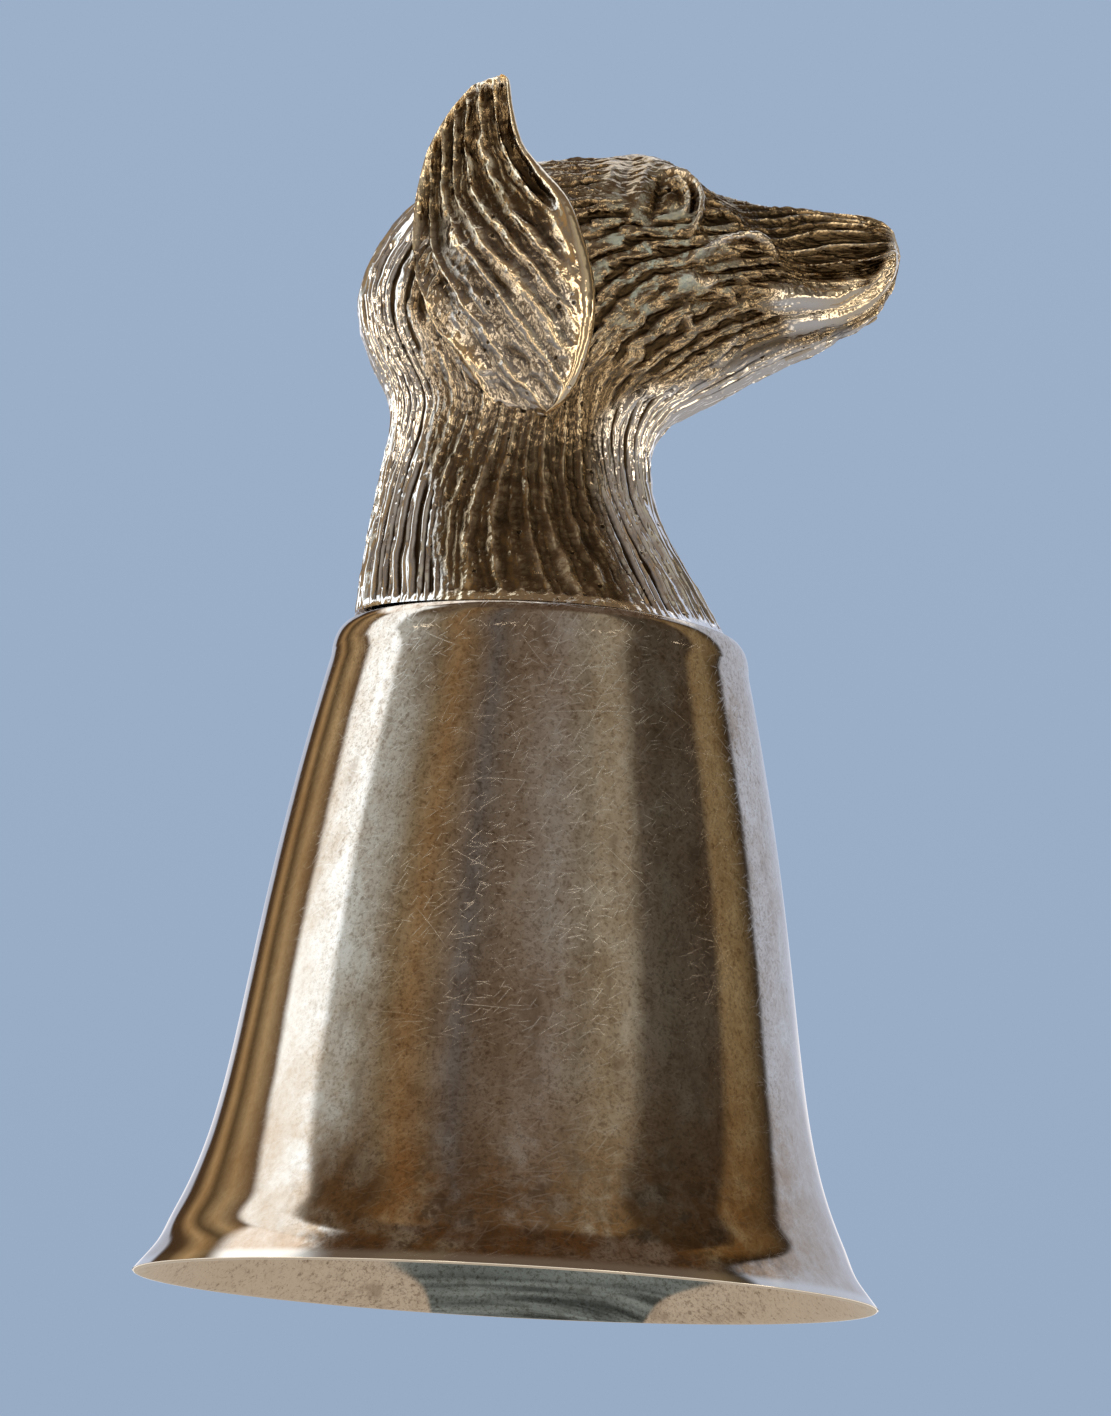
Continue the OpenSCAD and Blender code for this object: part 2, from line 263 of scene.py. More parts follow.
def polished_plate(outline_mm):
    finish, tree, shader, place = new_finish("polished_plate", Metallic=1.0)
    across, _, height = split(place)
    inside = read(tree, "inside")
    outside = 1.0 - inside
    # Brown clouds over the silver
    patches = noise(place, 0.22, 5, 0.65)
    specks = noise(place, 1.4, 3, 0.7)
    brown = noise(place, 0.06, 4, 0.6, 0.5) * 0.8 + patches * 0.6 + specks * 0.3
    brown = spread(brown, 0.4, 1.3)
    colour = tint(brown, PLATE_SILVER, PLATE_BROWN)
    colour = tint(inside * 0.8, colour, PLATE_INSIDE)
    # Rust low down, specks and spots; the left and right sides are cleaner than the middle
    stained = spread(across, -23, -16.5, 0.15, 1.0) * spread(across, 22, 30, 1.0, 0.2)
    rust = fall(height, 2, 24) * spread(patches, 0.32, 0.56)
    colour = tint(rust * (stained * outside), colour, PLATE_RUST)
    dark = spread(specks, 0.52, 0.72) * spread(patches, 0.34, 0.62)
    dark = largest(dark, spread(noise(place, 3.2, 2, 0.6), 0.58, 0.70) * 0.6)
    spots = spread(noise(place, 0.5, 4, 0.65), 0.52, 0.64) * fall(height, 4, 18) * outside
    dark = largest(dark, spots) * largest(stained, inside)
    colour = tint(dark * 0.75, colour, PLATE_SPECK)
    # A mottle drawn out upwards, with a finer grain, and the worn rim
    mottle = noise(move("MULTIPLY", place, (1, 1, 0.45)), 0.4, 6, 0.62, 0.2)
    grainy = spread(noise(place, 2.2, 4, 0.75), 0.48, 0.66) * (stained * 0.6)
    darker = spread(mottle, 0.50, 0.74) * (stained * 0.55)
    paler = spread(mottle, 0.48, 0.28) * (stained * spread(height, 10, 32, 0.1, 0.45))
    colour = tint(largest(grainy, darker), colour, PLATE_SPECK)
    colour = tint(paler, colour, PLATE_SCRATCH)
    colour = tint(spread(height, 0.6, 1.4, 0.9, 0.0) * outside, colour, PLATE_SILVER)
    # Scratches, fewer of them at the sides and low on the bowl
    flat = move("MULTIPLY", get(tree, "ShaderNodeUVMap", uv_map="plate_uv"), (PLATE_AROUND_MM, outline_mm, 0))
    scratched = 0.0
    for *layer, strength in HAIRS:
        scratched = largest(scratched, hairs(flat, *layer) * strength)
    worn = spread(across, -18, -10, 0.3, 1.0) * spread(across, 8, 14, 1.0, 0.6)
    worn = worn * spread(height, 8, 40, 0.35, 1.0)
    lines = scratched * spread(noise(place, 0.14, 3), 0.36, 0.6, 0.5, 1.0) * (worn * outside)
    feed(tint(lines, colour, PLATE_SCRATCH), shader, "Base Color")
    feed(brown * 0.05 + 0.035 + lines * 0.45 + inside * 0.12, shader, "Roughness")
    bump(shader, noise(place, 0.09, 2) - lines * 0.03, PLATE_WAVES)
    return finish


# %% [markdown]
# ## The bowl
# A bowl like this is spun: a disc turns on a lathe and is pressed over a wooden form, so every level is a
# true circle. The same rule makes the mesh. One outline is drawn through the wall, and a Geometry Nodes
# tree turns it round the axis: each point of a grid takes its place from the outline and its angle from its
# column. A Screw modifier could turn it too, but the tree also lays out the flat coordinates that the
# scratches need.

# %% Curves of the bowl
rim_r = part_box("cup_bowl")[1].x / MM
seat_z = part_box("cup_bowl")[1].z / MM
SHOULDER_R = 21.6
SHOULDER_H = 3.0
SEAT_R = 20.2
FLARE_IN = 11.0
FLARE_H = 15.0
SWELL_OUT = 9.2
SWELL_H = 38.5
WALL_T = 1.1
FLOOR_T = 1.4
STUD_HOLE_R = 3.0
RIM_ROUNDING = 0.6
LIP_KICK, LIP_KICK_Z, LIP_KICK_H = 0.35, 3.2, 2.0
EDGE_TURN = math.radians(62)
EDGE_ROUNDING = 0.2
WALL_STEPS, SHOULDER_STEPS, FLAT_STEPS, CORNER_STEPS = 130, 14, 12, 6
shoulder_z = seat_z - SHOULDER_H


def mix(low, high, part):
    return low + (high - low) * part


def smooth(part):
    part = np.clip(part, 0, 1)
    return part * part * (3 - 2 * part)


def bell(away, width):
    return np.exp(-(away / width) ** 2)


def wall(t, inset):
    """The wall from the rim to the shoulder: a Bezier curve, moved inwards by the inset."""
    a, b, c, d = np.array([[rim_r, 0], [rim_r - FLARE_IN, FLARE_H],
                           [SHOULDER_R + SWELL_OUT, shoulder_z - SWELL_H], [SHOULDER_R, shoulder_z]])
    t = t[:, None]
    point = (1 - t) ** 3 * a + 3 * t * (1 - t) ** 2 * b + 3 * t * t * (1 - t) * c + t ** 3 * d
    run = (1 - t) ** 2 * (b - a) + 2 * t * (1 - t) * (c - b) + t * t * (d - c)
    inward = np.stack([-run[:, 1], run[:, 0]], -1) / np.linalg.norm(run, axis=1)[:, None]
    point[:, 0] -= LIP_KICK * bell(point[:, 1] - LIP_KICK_Z, LIP_KICK_H)
    return point + inset * inward


def shoulder(inset, drop, last=math.pi / 2):
    """The quarter ellipse from the wall onto the closed end, or its first part."""
    turn = np.linspace(0, last, SHOULDER_STEPS)[1:]
    return np.stack([SEAT_R - inset + (SHOULDER_R - SEAT_R) * np.cos(turn),
                     shoulder_z + (SHOULDER_H - drop) * np.sin(turn)], -1)


def soft_corner(before, corner, after, size):
    """A corner rounded off by a short curve."""
    first = corner + (before - corner) / np.linalg.norm(before - corner) * size
    last = corner + (after - corner) / np.linalg.norm(after - corner) * size
    t = np.linspace(0, 1, CORNER_STEPS)[:, None]
    return (1 - t) ** 2 * first + 2 * t * (1 - t) * corner + t * t * last


def level_line(radii, z):
    return np.stack([radii, np.full(len(radii), z)], -1)


# %% Outline of the bowl
def bowl_outline():
    """Points (radius, height) round the cut wall, and whether each one lies inside the bowl."""
    steps = np.linspace(0, 1, WALL_STEPS) ** 1.3
    outer = np.vstack([wall(steps, 0), shoulder(0, 0, EDGE_TURN)])
    climb = (seat_z - outer[-1, 1]) / (outer[-1, 1] - outer[-2, 1])
    edge = outer[-1] + climb * (outer[-1] - outer[-2])
    inner = np.vstack([wall(steps, WALL_T), shoulder(WALL_T, FLOOR_T)])
    inner = inner[inner[:, 1] > RIM_ROUNDING]
    rim_inside = np.array([np.interp(0, *wall(steps[:8], WALL_T)[:, ::-1].T), 0])
    seat = level_line(np.linspace(edge[0], STUD_HOLE_R, FLAT_STEPS)[1:], seat_z)
    floor = level_line(np.linspace(STUD_HOLE_R, inner[-1, 0], FLAT_STEPS)[:-1], seat_z - FLOOR_T)
    outside = np.vstack([soft_corner(rim_inside, outer[0], outer[6], RIM_ROUNDING), outer[2:],
                         soft_corner(outer[-1], edge, seat[0], EDGE_ROUNDING), seat])
    inside = np.vstack([floor, inner[::-1], soft_corner(inner[4], rim_inside, outer[0], RIM_ROUNDING)])
    points = np.vstack([outside, inside, outside[:1]])
    return points, np.r_[np.zeros(len(outside)), np.ones(len(inside)), 0]


outline, is_inside = bowl_outline()
outline_run = np.r_[0, np.cumsum(np.linalg.norm(np.diff(outline, axis=0), axis=1))]
print("bowl outline:", len(outline), "points,", round(outline_run[-1], 1), "mm round the cut wall")


# %% Tree that turns an outline
def new_tree(name, **inputs):
    """A geometry tree with named inputs, and the Numbers that they give in it."""
    tree = bpy.data.node_groups.new(name, "GeometryNodeTree")
    sockets = tree.interface
    sockets.new_socket("Geometry", in_out="INPUT", socket_type="NodeSocketGeometry")
    for key, default in inputs.items():
        kind = "NodeSocketInt" if isinstance(default, int) else "NodeSocketFloat"
        sockets.new_socket(key, in_out="INPUT", socket_type=kind).default_value = default
    sockets.new_socket("Finish", in_out="INPUT", socket_type="NodeSocketMaterial")
    sockets.new_socket("Geometry", in_out="OUTPUT", socket_type="NodeSocketGeometry")
    given = add(tree, "NodeGroupInput").outputs
    return tree, {key: Number(given[key]) for key in ("Geometry", *inputs, "Finish")}


def named(tree, attribute, data_type="FLOAT"):
    return get(tree, "GeometryNodeInputNamedAttribute", {"Name": attribute}, data_type=data_type)


def store(geometry, name, value, **settings):
    inputs = {"Geometry": geometry, "Name": name, "Value": value}
    return get(tree_of(geometry), "GeometryNodeStoreNamedAttribute", inputs, **settings)


def close_tree(tree, geometry, given):
    """Every tree ends the same way: plain geometry with its finish."""
    plain = get(tree, "GeometryNodeRealizeInstances", {"Geometry": geometry})
    dressed = get(tree, "GeometryNodeSetMaterial", {"Geometry": plain, "Material": given["Finish"]})
    add(tree, "NodeGroupOutput", {0: dressed})


def turning_tree():
    tree, given = new_tree("turn_outline", Columns=240)
    line, columns = given["Geometry"], given["Columns"]
    levels = get(tree, "GeometryNodeAttributeDomainSize", {0: line}, component="MESH")
    grid = get(tree, "GeometryNodeMeshGrid", {"Vertices X": columns + 1, "Vertices Y": levels})
    index = get(tree, "GeometryNodeInputIndex")
    level = get(tree, "FunctionNodeIntegerMath", {0: index, 1: levels}, operation="MODULO")
    column = get(tree, "FunctionNodeIntegerMath", {0: index, 1: levels}, operation="DIVIDE_FLOOR")
    part = column / columns
    angle = part * (2 * math.pi) + math.pi / 2

    def at_level(value, data_type="FLOAT"):
        inputs = {"Geometry": line, "Value": value, "Index": level}
        return get(tree, "GeometryNodeSampleIndex", inputs, data_type=data_type)

    place = at_level(get(tree, "GeometryNodeInputPosition"), "FLOAT_VECTOR")
    turned = get(tree, "ShaderNodeVectorRotate", {"Vector": place, "Angle": angle}, rotation_type="Z_AXIS")
    flat = get(tree, "ShaderNodeCombineXYZ", {0: part, 1: at_level(named(tree, "run"))})
    flat = get(tree, "GeometryNodeFieldOnDomain", {0: flat}, data_type="FLOAT_VECTOR", domain="POINT")
    shaped = get(tree, "GeometryNodeSetPosition", {"Geometry": grid, "Position": turned})
    shaped = store(shaped, "plate_uv", flat, data_type="FLOAT2", domain="CORNER")
    shaped = store(shaped, "inside", at_level(named(tree, "inside")), data_type="FLOAT", domain="POINT")
    joined = get(tree, "GeometryNodeMergeByDistance", {"Geometry": shaped, "Distance": 1e-6})
    close_tree(tree, get(tree, "GeometryNodeSetShadeSmooth", {"Geometry": joined}), given)
    return tree


# %% Pieces made by a tree
def add_numbers(mesh, name, values, kind="FLOAT"):
    """Writes one number, or one vector, for each vertex."""
    key = "vector" if kind == "FLOAT_VECTOR" else "value"
    attribute = mesh.attributes.new(name, kind, "POINT")
    attribute.data.foreach_set(key, np.asarray(values, np.float32).ravel())


def grow(name, mesh, tree, **inputs):
    """Runs a tree on a mesh and keeps the result as a plain mesh."""
    piece = bpy.data.objects.new(name, mesh)
    bpy.context.scene.collection.objects.link(piece)
    modifier = piece.modifiers.new(tree.name, "NODES")
    modifier.node_group = tree
    places = {item.name: item.identifier for item in tree.interface.items_tree if item.in_out == "INPUT"}
    for key, value in inputs.items():
        modifier[places[key]] = value
    bpy.context.view_layer.update()
    result = bpy.data.meshes.new_from_object(piece.evaluated_get(bpy.context.evaluated_depsgraph_get()))
    piece.modifiers.remove(modifier)
    piece.data = result
    result.name = name
    return piece


def volume(mesh):
    """The volume inside a closed mesh: positive where its faces point outwards."""
    mesh.calc_loop_triangles()
    corners = np.array([t.vertices[:] for t in mesh.loop_triangles])
    place = np.zeros(len(mesh.vertices) * 3)
    mesh.vertices.foreach_get("co", place)
    a, b, c = place.reshape(-1, 3)[corners].transpose(1, 0, 2)
    return float((a * np.cross(b, c)).sum() / 6)


def dress(piece, node):
    """Hands a finished piece to the frame in place of its CAD node."""
    if volume(piece.data) < 0:
        piece.data.flip_normals()
    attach(piece, "root")
    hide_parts(node)
    print(piece.name, len(piece.data.polygons), "faces,", round(volume(piece.data) / MM ** 3), "mm3")


# %% Turn the bowl
BOWL_COLUMNS = 256
BOWL_SHARP = math.radians(50)
half_outline = bpy.data.meshes.new("bowl_outline")
half_outline.from_pydata([(r * MM, 0, z * MM) for r, z in outline], [], [])
add_numbers(half_outline, "run", outline_run / outline_run[-1])
add_numbers(half_outline, "inside", is_inside)
plate = polished_plate(outline_run[-1])
bowl = grow("spun_bowl", half_outline, turning_tree(), Columns=BOWL_COLUMNS, Finish=plate)
bowl.data.set_sharp_from_angle(angle=BOWL_SHARP)
dress(bowl, "cup_bowl")

# %% [markdown]
# ## The finish of the castings
# The head and ears are cast in brass, plated, and then darkened with a liver solution. Polishing takes the
# dark coat off the ridges and leaves it in the grooves, and it is that contrast that draws the hair. Nape
# and throat are rubbed back to silver, and that silver is also a painted reflection of the pale sky at the
# edges of the head. The sides keep their brown coat, which is partly painted shade, with bare brass on the
# ridges and gold on the crests that are rubbed most. The relief of the carving is kept on the mesh as a
# number, 0 in a groove and 1 on a ridge, so the finish can follow it; it is lowered as painted shade in the
# sunk places of the face and on the eyeball. Old polish has dried to a pale green-grey deposit on the cheek,
# and the cast skin is full of small pores.

# %% Oxidised plate
CAST_SILVER = (0.92, 0.885, 0.85)
CAST_GOLD = (0.95, 0.80, 0.58)
CAST_BRASS = (0.37, 0.285, 0.185)
CAST_BROWN = (0.25, 0.18, 0.105)
GROOVE_DARK = (0.05, 0.032, 0.017)
GROOVE_BROWN = (0.07, 0.048, 0.026)
DEPOSIT = (0.32, 0.35, 0.27)
PORE_DEPTH = 0.00018


def oxidised_plate():
    finish, tree, shader, place = new_finish("oxidised_plate")
    # How much dark coat a place carries. It is partly a real coat and partly painted shade; where it is low,
    # the silver is partly a painted reflection of the pale sky.
    coat_and_shade = read(tree, "coat_and_shade")
    grain = noise(place, 1.6, 4, 0.65)
    cells = add(tree, "ShaderNodeTexVoronoi", {"Vector": place, "Scale": 0.7}).outputs
    chance = split(Number(cells["Color"]), "Color")[0]
    pit = fall(Number(cells["Distance"]), 0.10, 0.22) * calc("GREATER_THAN", chance, 0.8)
    level = read(tree, "relief") + (grain - 0.5) * 0.25 + (noise(place, 0.2, 3, 0.6) - 0.5) * 0.3 - pit * 0.5
    groove = tint(coat_and_shade, GROOVE_DARK, GROOVE_BROWN)
    colour = tint(spread(level, 0.15, 0.6), groove, tint(coat_and_shade, CAST_SILVER, CAST_BROWN))
    colour = tint(spread(level, 0.5, 0.95), colour, tint(coat_and_shade, CAST_SILVER, CAST_BRASS))
    colour = tint(spread(level, 0.6, 0.9) * read(tree, "polish"), colour, CAST_GOLD)
    blotches = spread(noise(place, 0.5, 5, 0.65, 0.6), 0.45, 0.62)
    dull = read(tree, "dull") * blotches * spread(level, 0.45, 0.85)
    feed(tint(dull, colour, DEPOSIT), shader, "Base Color")
    feed(dull * -0.8 + 1.0, shader, "Metallic")
    rough = spread(level, 0.1, 0.7, 0.30, 0.08)
    feed(rough + read(tree, "matt") * 0.04 + dull * 0.25, shader, "Roughness")
    bubbles = get(tree, "ShaderNodeTexVoronoi", {"Vector": place, "Scale": 1.3}, feature="SMOOTH_F1")
    height = noise(place, 0.6, 3, 0.6) - bubbles + grain * 0.3
    bump(shader, height * spread(coat_and_shade, 0.0, 0.6, 0.3, 1.0) - pit * 0.6, PORE_DEPTH)
    return finish


# %% [markdown]
# ## The coat of hair
# The hair is chased: a tool is driven along the casting. On nape and throat it leaves flat ridges with dark
# dashes between them, on the cheek round strands, and on the shaded neck, the snout and the ears thin
# crests between hollow channels. The strands follow the form, up the neck, round the cheek and out along
# the muzzle, so each piece carries a strand number that counts across the flow and a length that runs along
# it. One Geometry Nodes tree turns these into carving. It bends the strands with a slow noise, splits them
# with finer ones, lets the grooves run shallow here and there, and cuts inwards along the piece's own
# outward direction. A bump in the finish would be less work, but the strands are half a millimetre deep and
# show in the outline.

# %% Tree that carves strands
CARVING_NUMBERS = ("strand", "along", "carve", "fine", "hairy", "crown", "gouge", "knobs", "hollow")
SIDE_PER_MM = 0.06


def carving_tree():
    tree, given = new_tree("carve_strands", Depth=0.0005, Waviness=1.0, Stroke=9.0, Lumps=0.0001, Seed=0.0)
    strand, along, carve, fine, hairy, crown, gouge, knobs, hollow = (named(tree, n) for n in CARVING_NUMBERS)
    side = split(get(tree, "GeometryNodeInputPosition"))[1] * (SIDE_PER_MM / MM) + given["Seed"]

    def field(across, length, detail=2):
        place = get(tree, "ShaderNodeCombineXYZ", {0: across, 1: length, 2: side})
        return noise(place, 1.0, detail, 0.5)

    def centred(across, length, scale):
        """A noise about 0, told apart by strand and length."""
        return (field(strand * across, along * length) - 0.5) * scale

    def come_and_go(number, stroke):
        """Every mark fades out and starts again along its length."""
        return spread(field(calc("ROUND", number) * 3.7, along / stroke, 1), 0.32, 0.46)

    def off_middle(number):
        """0 in the middle of a strand, 1 at its sides."""
        return calc("ABSOLUTE", calc("FRACT", number) * 2 - 1)

    def groove(number, stroke):
        """A groove on both sides of a strand: the crown says how much of the strand's width stays flat."""
        return spread(off_middle(number), crown, crown * 0.25 + 0.75) * come_and_go(number, stroke)

    def crest(number, stroke, least):
        """A sharp crest on both sides of a hollow channel."""
        return calc("POWER", off_middle(number), 2.4) * (come_and_go(number, stroke) * (1 - least) + least)

    wave, stroke = given["Waviness"], given["Stroke"]
    long_stroke = stroke * 2
    number = strand + centred(0.35, 0.05, wave * 2) + centred(1.3, 0.03, 0.9) + centred(0.8, 0.3, 1.3) * knobs
    half = number * 2 + centred(1.1, 0.08, wave)
    hair = number * 4 + centred(2.1, 0.2, wave * 2)
    ridged = largest(groove(number, long_stroke), groove(half, stroke) * fine)
    ridged = largest(ridged, groove(hair, stroke * 0.5) * hairy)
    edges = largest(crest(number, long_stroke, 0.75), crest(half, stroke, 0) * fine)
    gouged = (1 - edges) * 0.85 + groove(number + 0.5, long_stroke) * 0.15
    cut = ((gouged - ridged) * gouge + ridged) * carve
    uneven = (centred(2.0, 0.55, 1.2) * knobs + centred(0.9, 0.45, 0.7)) * carve
    reach = uneven * given["Lumps"] - cut * given["Depth"]
    moved = move("MULTIPLY", named(tree, "outward", "FLOAT_VECTOR"), reach)
    carved = get(tree, "GeometryNodeSetPosition", {"Geometry": given["Geometry"], "Offset": moved})
    # hollow lowers the level in the sunk places of the face and on the eyeball: painted shade, over the dark
    # coat that stays in the sunk places
    low = largest(cut * (1 - gouge * 0.1), hollow)
    level = calc("SUBTRACT", uneven * 0.6 + 1, low, clamp=True)
    close_tree(tree, store(carved, "relief", level, data_type="FLOAT", domain="POINT"), given)
    return tree


carve_strands = carving_tree()
cast_finish = oxidised_plate()
print("finishes:", sorted(m.name for m in bpy.data.materials if m.use_nodes and m.node_tree))

# %% [markdown]
# ## Castings
# The two halves of the head and the two ears are made alike. Each is a hollow or solid leaf between two
# grids of points that lie back to back: a carved skin outside and a plain face inside, joined along their
# sides. The left piece is the mirror image of the right one, and only the noise of the carving differs,
# because it takes its third coordinate from the side.

# %% Shells and castings
CAST_SHARP = math.radians(75)


def outward(points):
    """Unit directions out of the surface; on the first and last column they stay in the median plane."""
    out = np.cross(np.gradient(points, axis=1), np.gradient(points, axis=0))
    out[:, [0, -1], 1] = 0
    out /= np.maximum(np.linalg.norm(out, axis=-1, keepdims=True), 1e-9)
    return out if (out[..., 1] * points[..., 1]).sum() > 0 else -out


def numbered(grid, start=0):
    """The numbers of a grid's points, row by row."""
    rows, columns = grid.shape[:2]
    return (start + np.arange(rows * columns)).reshape(rows, columns).tolist()


def strip(first, second, turned=False):
    """Faces between two rows of points."""
    corners = zip(first, first[1:], second, second[1:])
    return [(a, b, d, c) if turned else (a, c, d, b) for a, b, c, d in corners]


def shell_faces(outer, inner):
    """Faces of two numbered grids back to back, and of the strips along their sides."""
    faces = []
    for i in range(len(outer) - 1):
        faces += strip(outer[i], outer[i + 1])
        faces += strip(inner[i], inner[i + 1], True)
    for end, turned in ((0, False), (-1, True)):
        faces += strip([row[end] for row in outer], [row[end] for row in inner], turned)
    return faces


def cast(name, node, mirror, points, faces, skin_out, skin_numbers, **carving):
    """One casting: a shell in millimetres whose first points are the skin that is carved."""
    side = np.array([1, -1 if mirror else 1, 1])
    mesh = bpy.data.meshes.new(name)
    mesh.from_pydata(points * side * MM, [], [face[::-1] for face in faces] if mirror else faces)
    shape = skin_out.shape[:2]
    spare = len(points) - shape[0] * shape[1]
    for key, values in skin_numbers.items():
        add_numbers(mesh, key, np.r_[np.broadcast_to(values, shape).ravel(), np.zeros(spare)])
    directions = np.vstack([(skin_out * side).reshape(-1, 3), np.zeros((spare, 3))])
    add_numbers(mesh, "outward", directions, "FLOAT_VECTOR")
    piece = grow(name, mesh, carve_strands, Finish=cast_finish, **carving)
    piece.data.polygons.foreach_set("use_smooth", [True] * len(piece.data.polygons))
    piece.data.set_sharp_from_angle(angle=CAST_SHARP)
    dress(piece, node)


# %% [markdown]
# ## The form of the head
# A hull builder gives the shape of a boat by a table of offsets, and the head is set out in the same way.
# Each station is a line across the median plane, from the throat or jaw to the nape or crown, with the half
# width there. A smooth curve joins the stations, and a slightly flattened ellipse closes each of them. It
# is the form of the CAD head, so the carving can start from it without any fitting.

# %% Stations of the head
NECK_R = 19.5
THROAT_X, NAPE_X, POLL_X, NOSE_X = 10.4, -17.2, -21.1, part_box("head_right")[1].x / MM
THROAT_H, BROW_H = 20.0, 31.6
NECK_HW, CHEEK_HW, MUZZLE_HW = 12.2, 13.2, 5.8
FLAT_SIDE = 0.82
ROUND_STATIONS = 6


def jaw_x(part):
    return mix(THROAT_X, NOSE_X, part)


def above(part):
    return THROAT_H + BROW_H * part


def face_hw(part):
    return mix(MUZZLE_HW, CHEEK_HW, part)


# Columns: front x, front height above the seat, back x, back height, half width
STATIONS = np.array([
    [NECK_R, 0, -NECK_R, 0, NECK_R],
    [mix(NECK_R, THROAT_X, 0.34), THROAT_H * 0.26, mix(-NECK_R, NAPE_X, 0.12), THROAT_H * 0.25,
     mix(NECK_R, NECK_HW, 0.3)],
    [mix(NECK_R, THROAT_X, 0.67), THROAT_H * 0.49, mix(-NECK_R, NAPE_X, 0.38), THROAT_H * 0.52,
     mix(NECK_R, NECK_HW, 0.6)],
    [mix(NECK_R, THROAT_X, 0.91), THROAT_H * 0.71, mix(-NECK_R, NAPE_X, 0.7), THROAT_H * 0.78,
     mix(NECK_R, NECK_HW, 0.87)],
    [THROAT_X, THROAT_H * 0.93, NAPE_X, above(0.01), NECK_HW],
    [jaw_x(0.01), above(0.04), NAPE_X, above(0.12), NECK_HW],
    [jaw_x(0.08), above(0.122), mix(NAPE_X, POLL_X, 0.5), above(0.25), mix(NECK_HW, CHEEK_HW, 0.3)],
    [jaw_x(0.17), above(0.17), mix(NAPE_X, POLL_X, 0.92), above(0.375), mix(NECK_HW, CHEEK_HW, 0.7)],
    [jaw_x(0.26), above(0.212), POLL_X, above(0.5), CHEEK_HW],
    [jaw_x(0.34), above(0.247), mix(NAPE_X, POLL_X, 0.6), above(0.645), CHEEK_HW],
    [jaw_x(0.42), above(0.287), mix(THROAT_X, NAPE_X, 0.96), above(0.795), face_hw(0.96)],
    [jaw_x(0.5), above(0.322), mix(THROAT_X, NAPE_X, 0.74), above(0.92), face_hw(0.88)],
    [jaw_x(0.58), above(0.355), mix(THROAT_X, NAPE_X, 0.47), above(0.965), face_hw(0.78)],
    [jaw_x(0.66), above(0.385), mix(THROAT_X, NAPE_X, 0.22), above(0.995), face_hw(0.64)],
    [jaw_x(0.72), above(0.413), jaw_x(-0.04), above(1), face_hw(0.48)],
    [jaw_x(0.77), above(0.437), jaw_x(0.14), above(0.915), face_hw(0.3)],
    [jaw_x(0.82), above(0.46), jaw_x(0.34), above(0.875), face_hw(0.17)],
    [jaw_x(0.87), above(0.488), jaw_x(0.56), above(0.865), face_hw(0.08)],
    [jaw_x(0.92), above(0.525), jaw_x(0.74), above(0.857), MUZZLE_HW],
    [jaw_x(0.96), above(0.585), jaw_x(0.87), above(0.845), MUZZLE_HW * 0.86],
    [jaw_x(0.985), above(0.645), jaw_x(0.95), above(0.815), MUZZLE_HW * 0.62],
    [NOSE_X, above(0.73), NOSE_X, above(0.73), 0],
])
LAST = len(STATIONS) - 1
print("head:", len(STATIONS), "stations, nose at x", round(NOSE_X, 1), "mm")


# %% Skin through the stations
def through(rows, s):
    """A smooth curve through the rows of a table, at the places s."""
    i = np.minimum(len(rows) - 2, np.floor(s).astype(int))
    t = (s - i)[:, None]
    a, b, c, d = (rows[np.clip(i + k, 0, len(rows) - 1)] for k in (-1, 0, 1, 2))
    squared, cubed = 2 * a - 5 * b + 4 * c - d, 3 * b - a - 3 * c + d
    return 0.5 * (2 * b + (c - a) * t + squared * t * t + cubed * t ** 3)


def side_power(s):
    return mix(1, FLAT_SIDE, smooth(s / ROUND_STATIONS))


def skin(s, turn, inset=0.0, closing=1.0):
    """Points of the right half: s runs up the stations, turn from the crown to the jaw. Millimetres."""
    rows = through(STATIONS, s)
    middle = (rows[:, 0:2] + rows[:, 2:4]) / 2
    span = (rows[:, 2:4] - rows[:, 0:2]) / 2
    length = np.maximum(np.linalg.norm(span, axis=1), 0.01)
    reach = np.maximum(0.01, length - inset) / length * closing
    flat = middle[:, None] + span[:, None] * (reach[:, None] * np.cos(turn)[None])[..., None]
    wide = np.maximum(0, rows[:, 4] - inset) * closing
    side = -wide[:, None] * np.maximum(0, np.sin(turn))[None] ** side_power(s)[:, None]
    return np.stack([flat[..., 0], side, seat_z + flat[..., 1]], -1)


# The rings stand closer together where the carving is fine
RINGS, COLUMNS = 320, 288
column_turn = np.linspace(0, math.pi, COLUMNS + 1)
sample_s = np.linspace(0, LAST - 0.02, 2000)
sample_step = np.linalg.norm(np.diff(skin(sample_s, column_turn[60:230:10]), axis=0), axis=-1).mean(1)
crowding = np.interp(sample_s[1:], [0, 4, 6, 9, 11, 21], [0.3, 0.35, 0.7, 1.0, 1.3, 1.3])
sample_run = np.r_[0, np.cumsum(sample_step * crowding)]
ring_s = np.interp(np.linspace(0, sample_run[-1], RINGS), sample_run, sample_s)
form = skin(ring_s, column_turn)
form_x, form_z = form[..., 0], form[..., 2]
print("head form:", form.shape[0], "rings of", form.shape[1], "points on each half")

# %% [markdown]
# ## Face, folds and mouth
# The face is modelled over that form in the order a sculptor works: hollows first, then folds and lids,
# then the edges of the mouth. Each feature is a short line of points in side view, in millimetres along the
# muzzle and up from the table. It is laid on the surface, and the surface rises or sinks beside it by a
# soft bell curve. A number says how far the hair stays clear of it, because the lips and lids are smooth.

# %% Features of the face
EYEBALL = [(11.0, 113.6), (11.3, 112.7)]
